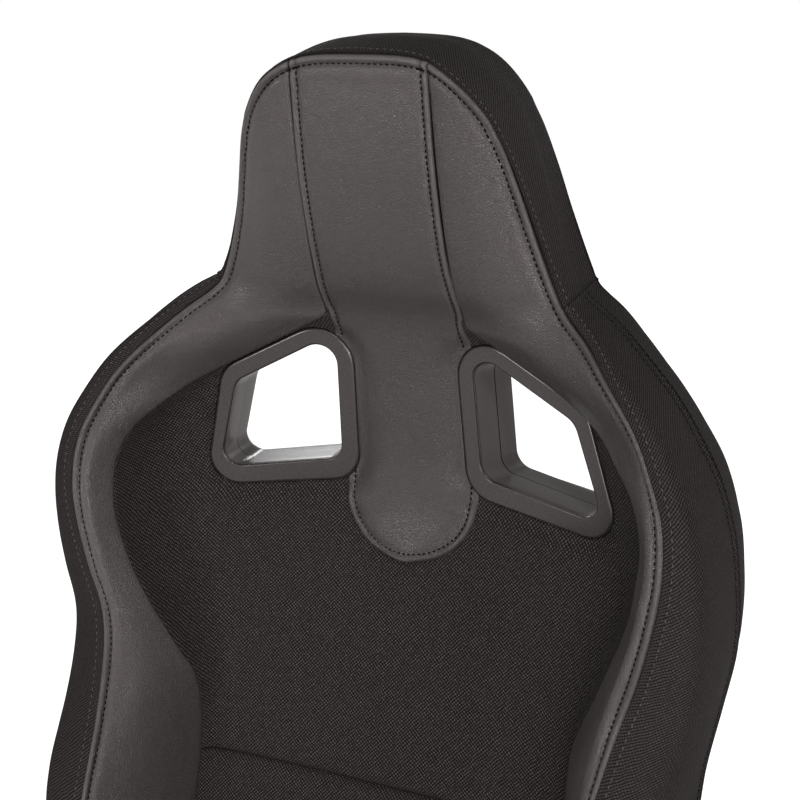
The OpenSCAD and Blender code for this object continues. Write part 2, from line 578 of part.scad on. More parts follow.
// Pressed side plate from the rail up to the recliner, with lightening holes.
rail_y0 = -160;
rail_y1 = 156;
foot_w = 22;
bolt_hole_r = 4.2;
holes = [[-150, 110, 22], [-66, 104, 24], [20, 100, 22], [100, 96, 20]];
module side_frame(side) {
  y0 = -cushion_front + 30;
  y1 = min(cushion_rear - 4, pivot_y - hub_r - 60);
  d = 0.15;
  color([0.16, 0.16, 0.17]) mirrored(side) difference() {
    union() {
      yz_plate(side_in, side_in + plate_t) polygon([[rail_y0, rail_top], [rail_y1, rail_top],
        [pivot_y - 6, 92], [pivot_y + 30, pivot_z - 24], [pivot_y - 30, pivot_z - 6],
        [pivot_y - 52, pivot_z - 42], [y1, pan_z(y1) - d], [y0, pan_z(y0) - d], [y0, pan_z(y0) - 34],
        [-230, 96]]);
      at_pivot(side_in) cylinder(r = hub_r + 12, h = plate_t);
      translate([side_in - foot_w, rail_y0, rail_top])
        cube([foot_w + plate_t, rail_y1 - rail_y0, plate_t]);
    }
    at_pivot(side_in - 1) cylinder(r = shaft_r + run_fit, h = plate_t + 2);
    for (p = holes)
      translate([side_in - 1, p[0], p[1]]) rotate([0, 90, 0]) cylinder(r = p[2], h = plate_t + 2);
    for (y = [-bolt_y, bolt_y]) translate([rail_spacing / 2 - bolt_in, y, rail_top - 1])
      cylinder(r = bolt_hole_r, h = plate_t + 2);
    translate([0, rel_y, rel_z]) x_rod(pin_r + run_fit, side_in - 1, side_in + plate_t + 1);
  }
}
// Moulded cover over the side frame, open on its inner side, on three posts.
trim_wall = 3;
post_r = 6;
post_bite = 1.3;
module side_trim(side) {
  x0 = side_in + plate_t + 1.5;
  x1 = trim_x;
  color([0.07, 0.07, 0.075]) mirrored(side) difference() {
    union() {
      yz_plate(x1 - trim_wall, x1) trim_shape(0);
      difference() {
        yz_plate(x0, x1 - trim_wall + joint_bite) trim_shape(0);
        yz_plate(x0 - 1, x1 - trim_wall) trim_shape(trim_wall);
      }
      for (p = trim_posts) translate([0, p[0], p[1]]) x_rod(post_r, x0 - post_bite, x1 - trim_wall + 1);
    }
    at_pivot(x1 - 10) cylinder(r = shaft_r + 1.5, h = 20);
  }
}
trim_posts = [[-180, 82], [-24, 64], [156, 116]];
module trim_shape(d) {
  polygon(grow(rounded([[-cushion_front + 26, pan_z(-cushion_front + 26) - 3],
    [-236, 58], [pivot_y - 20, 58], [pivot_y + 37, 110], [pivot_y + 37, pivot_z + 34],
    [pivot_y - 37, pivot_z + 34], [cushion_rear + 5, pan_z(cushion_rear) - 3]],
    [12, 30, 30, 34, 30, 20, 20]), -d));
}

// ---- rails ----
rail_h = 26;
flange_w = 26;
module rail_pos(side) {
  mirrored(side) translate([rail_spacing / 2, 0, 0]) children();
}
module y_run(a, b) {
  translate([0, b, 0]) rotate([90, 0, 0]) linear_extrude(b - a) children();
}
rail_t = 2.5;
rail_floor = 3;
slot_half = 8;
module lower_rail(side) {
  h = rail_w / 2;
  color([0.5, 0.5, 0.52]) rail_pos(side) difference() {
    y_run(-rail_length / 2, rail_length / 2) polygon([[-h, 0], [h, 0], [h, rail_h],
      [slot_half, rail_h], [slot_half, rail_h - rail_t], [h - rail_t, rail_h - rail_t],
      [h - rail_t, rail_floor], [-h + rail_t, rail_floor], [-h + rail_t, rail_h - rail_t],
      [-slot_half, rail_h - rail_t], [-slot_half, rail_h], [-h, rail_h]]);
    for (y = [-1, 1]) translate([0, y * bolt_pitch / 2, -1])
      cylinder(r = bolt_hole_d / 2, h = rail_floor + 2);
  }
}
// Toothed plate on the inner side of each floor rail, for the lock pawls.
comb_w = 11;
comb_x = -rail_w / 2 - comb_w;
comb_t = 3;
comb_z = 16;
comb_y = -206;
tooth_pitch = 12;
teeth = 24;
module lock_comb(side) {
  gap = tooth_pitch / 2;
  color([0.45, 0.45, 0.47]) rail_pos(side) difference() {
    translate([comb_x, comb_y, comb_z]) cube([comb_w, teeth * tooth_pitch + gap * 2, comb_t]);
    for (i = [0:teeth - 1]) translate([comb_x - 1, comb_y + gap + tooth_pitch * i, comb_z - 1])
      cube([comb_w - 2, gap, comb_t + 2]);
  }
}
// Sliding rail: a flange between the balls, a web up through the slot and a cap.
flange_z = 9;
flange_h = 8;
web = 4;
cap_t = 3;
module upper_rail(side) {
  h = flange_w / 2;
  color([0.42, 0.42, 0.44]) rail_pos(side) difference() {
    y_run(rail_y0, rail_y1) polygon([[-h, flange_z], [h, flange_z],
      [h, flange_z + flange_h], [web, flange_z + flange_h], [web, rail_top - cap_t],
      [14, rail_top - cap_t], [14, rail_top], [-18, rail_top], [-18, rail_top - cap_t],
      [-web, rail_top - cap_t], [-web, flange_z + flange_h], [-h, flange_z + flange_h]]);
    for (y = [-bolt_y, bolt_y]) translate([-bolt_in, y, rail_top - cap_t - 1])
      cylinder(r = bolt_hole_r, h = cap_t + 2);
  }
}
head_h = 5;
bolt_r = 4.1;
nut_gap = 0.1;
module frame_bolts() {
  color([0.55, 0.55, 0.56]) for (s = [-1, 1]) for (y = [-bolt_y, bolt_y])
    translate([s * (rail_spacing / 2 - bolt_in), y, rail_top]) {
      translate([0, 0, -cap_t - nut_gap]) cylinder(r = bolt_r, h = cap_t + plate_t + 2 * nut_gap);
      translate([0, 0, plate_t + nut_gap]) cylinder(r = 7, h = head_h, $fn = 6);
      translate([0, 0, -cap_t - nut_gap - head_h]) cylinder(r = 6.5, h = head_h, $fn = 6);
    }
}
ball_r = rail_w / 4 - rail_t / 2 - flange_w / 4 - 0.3;
module ball_cage(side) {
  c = (rail_w / 2 - rail_t + flange_w / 2) / 2;
  color([0.7, 0.7, 0.68]) rail_pos(side) for (s = [-1, 1]) {
    translate([s * c - 1.2, -102, 11]) cube([2.4, 200, 4]);
    for (y = [-94, -56, 52, 90]) translate([s * c, y, 13]) sphere(r = ball_r);
  }
  color([0.7, 0.7, 0.68]) rail_pos(side) for (y = [-100, 94])
    translate([-c - 1, y, 5.2]) cube([2 * c + 2, 4, 2]);
  color([0.7, 0.7, 0.68]) rail_pos(side) for (s = [-1, 1]) for (y = [-100, 94])
    translate([s * c - 1, y, 5.2]) cube([2, 4, 6]);
}

// ---- rail release bar ----
rel_y = -60;
rel_z = 66;
bar_r = 5;
pin_r = 4;
module release_bar() {
  x = side_in - 8;
  P = bend([[x, rel_y + 2, rel_z], [x, rel_y - 70, rel_z], [x - 12, -cushion_front + 4, 92],
    [-x + 12, -cushion_front + 4, 92], [-x, rel_y - 70, rel_z], [-x, rel_y + 2, rel_z]], 34);
  color([0.3, 0.3, 0.32]) {
    bar(P, bar_r, 12, [0, 0.02, 1]);
    for (s = [-1, 1]) {
      translate([0, rel_y, rel_z]) x_rod(pin_r, s > 0 ? x - 6 : -x - 12, s > 0 ? x + 12 : -x + 6);
      translate([0, rel_y, rel_z]) x_rod(8, s > 0 ? x - 5 : -x - 5, s > 0 ? x + 5 : -x + 5);
      pawl(s, x);
    }
  }
}
// Three teeth on a plate, a tooth pitch apart, and the arm that carries them on the bar.
pawl_t = 3;
pawl_z = 26;
tip_z = 19.8;
module pawl(s, x) {
  a = rail_spacing / 2 + comb_x + 0.5;
  mirrored(s) {
    yz_plate(a, a + pawl_t) polygon(concat([[rel_y - 16, rel_z - 20], [rel_y - 58, rel_z - 20]],
      [for (i = [0:2]) for (p = [[-58, pawl_z], [-56, tip_z], [-53, tip_z], [-52, pawl_z]])
        [rel_y + p[0] + tooth_pitch * i, p[1]]], [[rel_y - 16, 30]]));
    translate([a, rel_y - 46, rel_z - 22]) cube([x - a, 20, pawl_t]);
    translate([x - pawl_t, rel_y - 46, rel_z - 22]) cube([pawl_t, 20, 20]);
  }
}

// ---- cushion ----
kc = cushion_width / 524;
top_z = [[-250, 311], [-200, 306], [-120, 291], [-40, 276], [40, 263], [100, 252], [130, 246],
  [140, 240]];
bol_s = [[-250, 150], [-60, 146], [60, 148], [140, 160]];
bol_e = [[-250, 214], [-120, 222], [40, 220], [110, 212], [140, 204]];
bol_z = [[-250, 330], [-200, 338], [-100, 336], [0, 316], [60, 292], [100, 266], [120, 252],
  [140, 238]];
cy0 = -250;
kl = (cushion_rear - cy0) / (140 - cy0);
seat_ribs = [-250, -226, -200, -168, -136, -104, -84, -74, -68, -62, -50, -20, 8, 28, 38, 44, 50,
  62, 84, 108, 124, 134, 140];
// Two stitched grooves across the cushion.
stitch_y = [-68, 44];
stitch_depth = 4.5;
stitch_w = 6;
function one_stitch(y, i) = stitch_depth * exp(-pow((y - stitch_y[i]) / stitch_w, 2));
function stitch(y) = one_stitch(y, 0) + one_stitch(y, 1);
function se(y) = kc * sm(bol_e, y);
function ss(y) = kc * sm(bol_s, y);
function seat_top(x, y) = let (s = ss(y), c = sm(top_z, y), k = abs(x) / s)
  k <= 1 ? c + 7 * pow(k, 4) - 3 * k * k - stitch(y) * (1 - pow(k, 8))
  : let (b = min(1, (k - 1) * s / (se(y) - s))) c + 4
    + (sm(bol_z, y) - c - 4) * sin(90 * pow(b, 0.85)) + 3 * sin(180 * b);
function seat_x(y, j) = j <= 5 ? ss(y) * sin(90 * j / 5) : ss(y) + (se(y) - ss(y)) * (j - 5) / 4;
function seat_pt(y, j) = let (k = abs(j), x = seat_x(y, k))
  [j < 0 ? -x : x, cy0 + (y - cy0) * kl, seat_top(x, y)];
function seat_bt(y, j) = let (k = abs(j), x = seat_x(y, k), v = cy0 + (y - cy0) * kl)
  [j < 0 ? -x : x, v, seat_z(v)];
module cushion_part(j0, j1) {
  sheet([for (y = seat_ribs) [for (j = [j0:j1]) seat_pt(y, j)]],
    [for (y = seat_ribs) [for (j = [j0:j1]) seat_bt(y, j)]]);
}
module cushion_insert() {
  color([0.12, 0.11, 0.11]) cushion_part(-5, 5);
}
module cushion_bolster(side) {
  color([0.28, 0.27, 0.27]) mirrored(side) cushion_part(5, 9);
}
function cgus(y) = let (e0 = se(y), z0 = seat_top(e0, y), v = cy0 + (y - cy0) * kl, b = seat_z(v),
    g = kc * 40 + 6 * sin(180 * (y + 250) / 390) - 8 * pow(max(0, y / 140), 4))
  [[e0, v, b], [e0, v, z0], [e0 + 0.42 * g, v, z0 - 0.5], [e0 + 0.82 * g, v, b + (z0 - b) * 0.91],
   [e0 + g, v, b + (z0 - b) * 0.76], [e0 + g, v, (z0 + b) / 2 - 4], [e0 + g - 6, v, b + 6],
   [e0 + g - 14, v, b]];
module cushion_gusset(side) {
  color([0.13, 0.12, 0.12]) mirrored(side) loft([for (y = seat_ribs) cgus(y)]);
}
// Rolled front of the cushion, one section for each distance from the middle.
module cushion_nose() {
  w = se(cy0) + kc * 40;
  L = cushion_front + cy0;
  drop = 70;
  xs = [for (k = [-10:10]) w * sin(9 * k)];
  function nz(x) = let (a = abs(x), e0 = se(cy0), u = max(0, (a - e0) / (w - e0)))
    seat_top(min(a, e0), cy0) - (seat_top(e0, cy0) - seat_z(cy0) - drop) * u * u * u;
  function sec(x) = let (t = nz(x), l = L * (1 - 0.86 * pow(abs(x) / w, 5)), b = seat_z(cy0), m = b + 26)
    concat([[x, cy0 - fit_gap / 2, seat_z(cy0)], [x, cy0 - fit_gap / 2, t]],
      [for (a = [15:15:90]) [x, cy0 - l * pow(sin(a), 0.9), m + (t - m) * pow(cos(a), 0.62)]],
      [[x, cy0 - l * 0.9, seat_z(cy0 - l * 0.9) ]]);
  color([0.28, 0.27, 0.27]) loft([for (x = xs) sec(x)]);
}

lower_rail(-1);  // lower_rail_left
lower_rail(1);  // lower_rail_right
lock_comb(-1);  // lock_comb_left
lock_comb(1);  // lock_comb_right
ball_cage(-1);  // ball_cage_left
ball_cage(1);  // ball_cage_right
upper_rail(-1);  // upper_rail_left
upper_rail(1);  // upper_rail_right
side_frame(-1);  // side_frame_left
side_frame(1);  // side_frame_right
cross_tube(front_tube_y, front_tube_z);  // front_tube
cross_tube(rear_tube_y, rear_tube_z);  // rear_tube
seat_pan();
frame_bolts();
recliner_hub(-1);  // recliner_hub_left
recliner_hub(1);  // recliner_hub_right
side_trim(-1);  // side_trim_left
side_trim(1);  // side_trim_right
cushion_insert();
cushion_bolster(-1);  // cushion_bolster_left
cushion_bolster(1);  // cushion_bolster_right
cushion_gusset(-1);  // cushion_gusset_left
cushion_gusset(1);  // cushion_gusset_right
cushion_nose();
release_bar();
sync_shaft();
recline_lever(-1);  // recline_lever_left
recline_lever(1);  // recline_lever_right
back_plate(-1);  // back_plate_left
back_plate(1);  // back_plate_right
hoop_tube();
lumbar_bars();
lumbar_wires();
shell_clips();
back_insert();
back_bolster(-1);  // back_bolster_left
back_bolster(1);  // back_bolster_right
headrest_pad();
back_tongue();
back_gusset(-1);  // back_gusset_left
back_gusset(1);  // back_gusset_right
headrest_gusset();
rear_shell();
slot_bezel(-1);  // slot_bezel_left
slot_bezel(1);  // slot_bezel_right
slot_tunnel(-1);  // slot_tunnel_left
slot_tunnel(1);  // slot_tunnel_right
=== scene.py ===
"""A reclining sports seat: sewn covers, stitching, mouldings, materials, light and camera.

Lengths are in millimetres in the frame of the solids, until a mesh is made from them.
"""

import math

import bpy
import numpy as np
from mathutils import Matrix


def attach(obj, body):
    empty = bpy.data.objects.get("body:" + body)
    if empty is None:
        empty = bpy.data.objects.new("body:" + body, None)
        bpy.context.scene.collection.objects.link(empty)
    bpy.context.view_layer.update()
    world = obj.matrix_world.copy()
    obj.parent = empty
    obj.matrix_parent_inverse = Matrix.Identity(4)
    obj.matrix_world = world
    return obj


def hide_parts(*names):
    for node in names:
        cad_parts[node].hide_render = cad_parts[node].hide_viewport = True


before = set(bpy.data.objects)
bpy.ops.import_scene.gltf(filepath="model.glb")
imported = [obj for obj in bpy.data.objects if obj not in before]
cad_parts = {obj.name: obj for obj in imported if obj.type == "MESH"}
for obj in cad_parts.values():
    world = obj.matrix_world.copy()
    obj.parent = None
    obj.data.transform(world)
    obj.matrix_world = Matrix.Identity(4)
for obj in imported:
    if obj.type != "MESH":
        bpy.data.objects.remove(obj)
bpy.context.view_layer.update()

MM = 0.001
SIDES = (("right", 1), ("left", -1))

# ---- backrest: places and depths shared with the solids, heights from the slot corner ----
BACK_O = np.array([0.0, 320.0, 640.0])
PAD_DEPTH = 42
FOAM_LEAST = 8
FLAT_HALF = 45
DIP_LIMIT = 12
SHELL_WALL = 3
CROWN_H = 44
TOP_Z = 308
FOOT_Z = -395
NECK_Z = 173
FABRIC_TOP = 165
SEAM_Z = -224
LIFT_Z = 200
ROUND_Z = 240
CROWN_POWER = 3.8

# ---- backrest by height ----
# EDGE and SEAM are the wing's outer edge and inner seam, and MID is the face at the spine.
# FLARE leans the centre panel, ROLL and SWELL shape the wings, BULGE is the gussets' width.
# REAR, SPINE and BOXY shape the rear shell, RIM_INSET draws its rim in, DIP hollows the foam.
EDGE_X = [[-395, 222], [-320, 211], [-250, 206], [-160, 206], [-105, 215], [-50, 231],
          [-10, 240], [25, 244], [60, 240], [88, 227], [110, 213], [130, 194], [152, 169],
          [168, 147], [184, 137.5], [223, 124], [260, 114], [288, 106], [308, 98]]
EDGE_Y = [[-395, -150], [-375, -174], [-345, -200], [-300, -214], [-250, -214], [-207, -202],
          [-150, -166], [-105, -134], [-75, -119], [-40, -115], [0, -110], [30, -104],
          [60, -94], [90, -79], [130, -52], [165, -12], [180, -7], [225, -6], [260, -9.5],
          [308, -17]]
SEAM_X = [[-395, 182], [-320, 172], [-264, 166], [-185, 164.5], [-150, 167], [-126, 175],
          [-72, 197], [-22, 215], [20, 220.5], [41, 217.5], [59, 208], [75, 190], [87, 172.5],
          [98, 150], [118, 110], [135, 77], [144, 60.5], [148, 59.3], [165, 59], [200, 57],
          [308, 55]]
SEAM_Y = [[-395, -144], [-340, -138], [-300, -122], [-264, -108], [-221, -91], [-185, -82],
          [-150, -82], [-126, -88], [-60, -94], [-22, -90], [0, -87], [20, -80.5], [41, -72],
          [59, -60], [75, -42], [87, -24], [100, -8], [120, 2], [138, 7], [152, 5.5], [176, -5],
          [207, -12], [240, -17], [272, -20], [308, -20]]
MID_Y = [[-395, -146], [-375, -151], [-340, -137], [-300, -118], [-222, -83], [-150, -48],
         [-100, -23], [-58, -4], [-20, 12], [20, 19], [80, 20], [125, 15], [150, 8], [176, -4],
         [207, -13], [240, -18], [275, -21], [320, -21], [352, -19]]
FLARE = [[-220, 0.02], [-100, 0.08], [-30, 0.17], [0, 0.19], [100, 0.19], [150, 0.04], [180, 0],
         [308, 0]]
ROLL = [[-395, 0.8], [0, 0.9], [60, 1.1], [100, 1.4], [150, 1.5], [200, 1.5], [308, 1.9]]
SWELL = [[-395, 6], [-300, 13], [-150, 12], [0, 9.5], [80, 9], [150, 7], [308, 5]]
BULGE = [[-395, 40], [-320, 49], [-200, 55], [-150, 52], [-110, 50.5], [-87, 49], [-62, 46],
         [-34, 40.5], [0, 32.5], [60, 20], [110, 15], [150, 9.5], [180, 4], [240, 1.5],
         [308, 0]]
REAR_Y = [[-395, -90], [-350, -95], [-300, -98], [-260, -85], [-220, -66], [-183, -41],
          [-150, -10], [-120, 10], [-90, 18], [-60, 19], [100, 18], [160, 44], [240, 61.5],
          [308, 69]]
REAR_N = [[-395, 26], [-300, 32], [-200, 36], [-120, 32], [-60, 24], [0, 12], [100, 6],
          [150, 8], [180, 8], [240, 3], [308, -4]]
SPINE_Y = [[-395, -20], [-300, 24], [-222, 58], [-150, 70], [-100, 70], [0, 68], [100, 68],
           [160, 74], [240, 80], [308, 80]]
BOXY = [[-395, 9], [-150, 8], [-60, 5], [0, 3.6], [160, 3.4], [308, 2.6]]
RIM_INSET = [[-395, 0.2], [120, 0.3], [160, 1.4], [268, 1.4], [308, 4.4]]
DIP = [[-395, 0], [-150, 8], [-80, 34], [0, 66], [62, 78], [134, 54], [176, 25], [220, 10],
       [308, 4]]

# ---- harness slots: outlines of tunnel and plate from their corner, and depths ----
SLOT_ORG = BACK_O + [167, -5.2, 0]
SLOT_TOE = math.radians(10.8)
SLOT_TURN = np.array([[math.cos(SLOT_TOE), -math.sin(SLOT_TOE), 0],
                      [math.sin(SLOT_TOE), math.cos(SLOT_TOE), 0], [0, 0, 1]])
SLOT_DROP = math.radians(10)
SLOT_IN = np.array([[1.7, 3.5], [-21.5, 80.7], [-111, 124.5], [-106.9, 17.5]])
SLOT_OUT = np.array([[18.3, -15], [-10.5, 93.4], [-126.1, 149.4], [-121.2, -0.6]])
SLOT_R_IN = np.array([13, 17, 16, 14])
SLOT_R_OUT = np.array([24, 28, 31, 25])
BEZEL_T = 6
TUNNEL_WALL = 2.6
PARTING = 30
TUNNEL_END = 54
TUNNEL_STEP = 0.6
LIP_GROOVE = 0.9
PARTING_GROOVE = 1.6
TUNNEL_GAP = 0.3
PLATE_GAP = 0.4
CUT_FRONT = -60
CUT_REAR = 150
POCKET_FRONT = -70
SLOT_NEAR = 40
LEATHER_SINK = 1.0
FABRIC_SINK = 2.4

# ---- cushion: its ends, cross seams and pan, then bolster and seat tables by depth ----
CUSHION_FRONT = 322
CUSHION_REAR = 147
NOSE_Y = -250
CUSHION_END = 140
CUSHION_SEAMS = (-68, 44)
PAN_TOP = 188.25
PAN_FRONT = -270
PAN_SLOPE = -35 / 390
TOP_SEAT = [[-250, 311], [-200, 306], [-120, 291], [-40, 276], [40, 263], [100, 252],
            [130, 246], [140, 240]]
BOL_S = [[-250, 150], [-60, 146], [60, 148], [140, 160]]
BOL_E = [[-250, 214], [-120, 222], [40, 220], [110, 212], [140, 204]]
BOL_Z = [[-250, 330], [-200, 338], [-100, 336], [0, 316], [60, 292], [100, 266],
         [120, 252], [140, 238]]

# ---- how covers stand up from the foam near their edges: distance in, height ----
EDGE_ROLL = [[0, -3.2], [0.4, -0.9], [1.0, 0.6], [2.2, 1.4], [3.9, 1.1], [5.6, -0.3],
             [6.5, -1.3], [7.4, -0.4], [9, 0.5], [13, 0.7], [21, 0.1], [34, 0]]
SEAM_ROLL = [[0, -2.2], [0.5, -0.4], [1.2, 1.2], [2.6, 2.0], [4.2, 1.4], [5.2, 0.5],
             [6, 0], [6.8, 0.6], [8.4, 1.4], [11, 1.7], [20, 1.7]]
TUCK = [[0, -1.5], [0.4, -0.3], [1.2, 0.3], [3.2, 0.5], [8, 0.3], [16, 0]]
TONGUE_ROLL = [[0, 0.2], [0.4, 1.7], [1.2, 2.8], [2.4, 3.3], [4, 2.8], [5.2, 1.5],
               [6, 0.9], [6.8, 1.5], [8.4, 2.4], [11, 2.8], [20, 3]]
CROSS_SEAM = [[0, -1.5], [0.6, -0.6], [1.4, 0], [3, 0.2], [8, 0]]

# ---- columns of a cover's grid, in from its borders ----
BORDER = [0, 0.5, 1.0, 1.8, 2.8, 4, 5.1, 5.9, 6.5, 7.1, 8.2, 10.5, 15]
PLAIN = [0, 0.5, 1.1, 2, 3.5, 6, 10, 15]

# ---- gussets: blend round corners, place of the rear seam and where it is piped ----
CORNER_BLEND = 11.0
REAR_SEAM = [[-395, 0.74], [-200, 0.74], [-120, 0.72], [-60, 0.68], [0, 0.64],
             [100, 0.62], [173, 0.6], [308, 0.6]]
PIPED = [[-395, 1], [140, 1], [166, 0], [308, 0]]

# ---- stitches: distance in from the edge, where rows end, pitch, length and yarn radius ----
EDGE_STITCH = 6.5
SEAM_STITCH = 6.0
STITCH_FOOT = 122
TONGUE_STITCH_TOP = 34
GATHER_REACH = 4.5
GATHER_HEIGHT = 0.16
EDGE_PITCH = 4.7
SEAM_PITCH = 4.3
GUSSET_PITCH = 5.6
REAR_PITCH = 4.8
LEATHER_YARN = (3.0, 0.75)
GUSSET_YARN = (2.6, 0.34)
REAR_YARN = (3.2, 0.45)

# ---- centre panel: its crown, and the half width, round end and start of its tongue ----
CENTRE_CROWN = 5.4
TONGUE_HALF = 57.5
TONGUE_TIP = 49
TONGUE_Z = -9

# ---- studio, in metres: the lamps are named with their place, diameter and power ----
GROUND_LIGHT = 0.1
FLOOR_HALF = 6.0
FLOOR_GLOW = 1.94
FLOOR_SHARE = 0.5
LAMP_AIM = np.array([0.0, 0.3, 0.8])
LAMPS = (("key", (1.49, -2.29, 0.54), 1.4, 44),
         ("fill", (-1.26, -2.39, 1.22), 0.9, 27),
         ("side_light", (2.64, -0.9, 1.06), 0.6, 17),
         ("top_light", (1.28, -1.34, 2.96), 0.3, 14),
         ("overhead", (0.0, -1.2, 3.4), 1.6, 20),
         ("rim_right", (0.8, 3.1, 1.25), 1.2, 20),
         ("rim_left", (-1.6, 2.8, 1.05), 0.5, 12))


# ---- curves ----
def smooth(stations, v):
    """Smooth curve through [key, value] stations; flat past both ends."""
    t = np.array(stations, float)
    keys, values = t[:, 0], t[:, 1]
    v = np.asarray(v, float)
    i = np.searchsorted(keys[1:-1], v, side="right")
    a = np.maximum(np.arange(len(t)) - 1, 0)
    b = np.minimum(np.arange(len(t)) + 1, len(t) - 1)
    rate = (values[b] - values[a]) / (keys[b] - keys[a])
    h = keys[i + 1] - keys[i]
    u = np.clip((v - keys[i]) / h, 0, 1)
    return (values[i] * (2 * u**3 - 3 * u**2 + 1) + values[i + 1] * (3 * u**2 - 2 * u**3)
            + rate[i] * h * (u**3 - 2 * u**2 + u) + rate[i + 1] * h * (u**3 - u**2))


def unit(v):
    return v / np.maximum(np.linalg.norm(v, axis=-1, keepdims=True), 1e-9)


def stack(*parts):
    return np.stack(np.broadcast_arrays(*parts), -1)


def bell(distance, width):
    """A smooth hump that is 1 at no distance."""
    return np.exp(-(distance / width) ** 2)


def spaced(lo, hi, step, fine_at=(), fine=0.8, reach=12):
    """Sorted values from lo to hi, step apart, and closer near the places named."""
    values = set(np.round(np.arange(lo, hi, step), 3)) | {lo, hi}
    for place in fine_at:
        near = np.arange(place - reach, place + reach + fine, fine)
        values |= set(np.round(near[(near > lo) & (near < hi)], 3))
    values = np.array(sorted(values))
    keep = np.append(True, np.diff(values) > fine * 0.5)
    keep[-1] = True
    return values[keep]


def length_along(points):
    """Running length along the last-but-one axis of a line or grid of points."""
    steps = np.linalg.norm(np.diff(points, axis=-2), axis=-1)
    return np.concatenate([np.zeros(steps.shape[:-1] + (1,)), np.cumsum(steps, -1)], -1)


def through(points, count):
    """Catmull-Rom curve with count points through each row of a (rows, k, 3) array."""
    k = points.shape[1]
    ghost = np.concatenate([2 * points[:, :1] - points[:, 1:2], points,
                            2 * points[:, -1:] - points[:, -2:-1]], 1)
    t = np.linspace(0, k - 1, count)
    i = np.minimum(t.astype(int), k - 2)
    u = (t - i)[None, :, None]
    p0, p1, p2, p3 = (ghost[:, i + n] for n in range(4))
    return 0.5 * (2 * p1 + (p2 - p0) * u + (2 * p0 - 5 * p1 + 4 * p2 - p3) * u**2
                  + (3 * p1 - p0 - 3 * p2 + p3) * u**3)


def line_distance(points, line):
    """Least distance from each point of an array to a polyline."""
    flat = points.reshape(-1, points.shape[-1])
    a, ab = line[:-1], np.diff(line, axis=0)
    size = np.maximum((ab * ab).sum(1), 1e-12)
    best = np.full(len(flat), np.inf)
    for start in range(0, len(flat), 4000):
        ap = flat[start:start + 4000, None] - a
        t = np.clip((ap * ab).sum(2) / size, 0, 1)
        gap = np.linalg.norm(ap - t[..., None] * ab, axis=2)
        best[start:start + 4000] = gap.min(1)
    return best.reshape(points.shape[:-1])


def inside(points, outline):
    """True for each 2-D point that lies inside a closed outline."""
    x, y = points[..., 0], points[..., 1]
    hit = np.zeros(x.shape, bool)
    for (x0, y0), (x1, y1) in zip(outline, np.roll(outline, -1, axis=0)):
        crosses = (y0 > y) != (y1 > y)
        at = x0 + (y - y0) * (x1 - x0) / (y1 - y0 if y1 != y0 else 1e-9)
        hit ^= crosses & (x < at)
    return hit


def normals(points):
    """Unit normals of a grid of points, towards columns cross rows."""
    return unit(np.cross(np.gradient(points, axis=1), np.gradient(points, axis=0)))


def puffed(points, height):
    """A grid moved out along its normals."""
    return points + normals(points) * height[..., None]


def turned(points, sign):
    """A grid as it is for the right side, or its mirror image with the columns turned round."""
    return points if sign > 0 else (points * [-1, 1, 1])[:, ::-1]


# ---- meshes ----
def add(name, data):
    obj = bpy.data.objects.new(name, data)
    bpy.context.scene.collection.objects.link(obj)
    return obj


def make(name, verts, faces, material, body="backrest", uv=None):
    """A smooth-shaded object in metres that rides on a body."""
    mesh = bpy.data.meshes.new(name)
    mesh.from_pydata((verts * MM).tolist(), [], faces)
    mesh.materials.append(material)
    mesh.polygons.foreach_set("use_smooth", [True] * len(mesh.polygons))
    if uv is not None:
        loops = np.empty(len(mesh.loops), int)
        mesh.loops.foreach_get("vertex_index", loops)
        mesh.uv_layers.new(name="UVMap").data.foreach_set("uv", (uv[loops] * MM).ravel())
    mesh.update()
    obj = add(name, mesh)
    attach(obj, body)
    return obj


def ring_faces(rows, cols, joined=False):
    """Quads from each closed ring of points to the next, and from the last to the first."""
    faces = []
    for i in range(rows if joined else rows - 1):
        a, b = i * cols, (i + 1) % rows * cols
        for j in range(cols):
            k = (j + 1) % cols
            faces.append([a + j, a + k, b + k, b + j])
    return faces


def flipped(faces):
    return [face[::-1] for face in faces]


def closed(name, front, back, slot, body="backrest"):
    """A closed piece between two grids of the same size."""
    rows, cols = front.shape[:2]
    count = rows * cols
    at = np.arange(count).reshape(rows, cols)
    grid = np.stack([at[:-1, :-1], at[:-1, 1:], at[1:, 1:], at[1:, :-1]], -1).reshape(-1, 4)
    faces = grid.tolist() + (grid[:, ::-1] + count).tolist()
    rim = np.concatenate([at[0], at[1:, -1], at[-1, -2::-1], at[-2:0:-1, 0]]).tolist()
    faces += [[b, a, count + a, count + b] for a, b in zip(rim, rim[1:] + rim[:1])]
    across = length_along(front)
    across = across - across[:, [cols // 2]]
    uv = stack(across, length_along(front[:, cols // 2])[:, None]).reshape(-1, 2)
    verts = np.concatenate([front, back]).reshape(-1, 3)
    return make(name, verts, faces, LOOKS[slot], body, np.concatenate([uv, uv]))


def ringed(name, rings, slot, body="backrest"):
    """A piece lofted through closed rings, with its two ends capped."""
    rows, cols = rings.shape[:2]
    caps = [list(range(cols - 1, -1, -1)), list(range((rows - 1) * cols, rows * cols))]
    uv = stack(length_along(rings), length_along(rings[:, 0])[:, None]).reshape(-1, 2)
    faces = ring_faces(rows, cols) + caps
    return make(name, rings.reshape(-1, 3), faces, LOOKS[slot], body, uv)


def sewn(piece, fill, *nodes):
    """Hides the solids that a piece stands for."""
    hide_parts(*nodes)


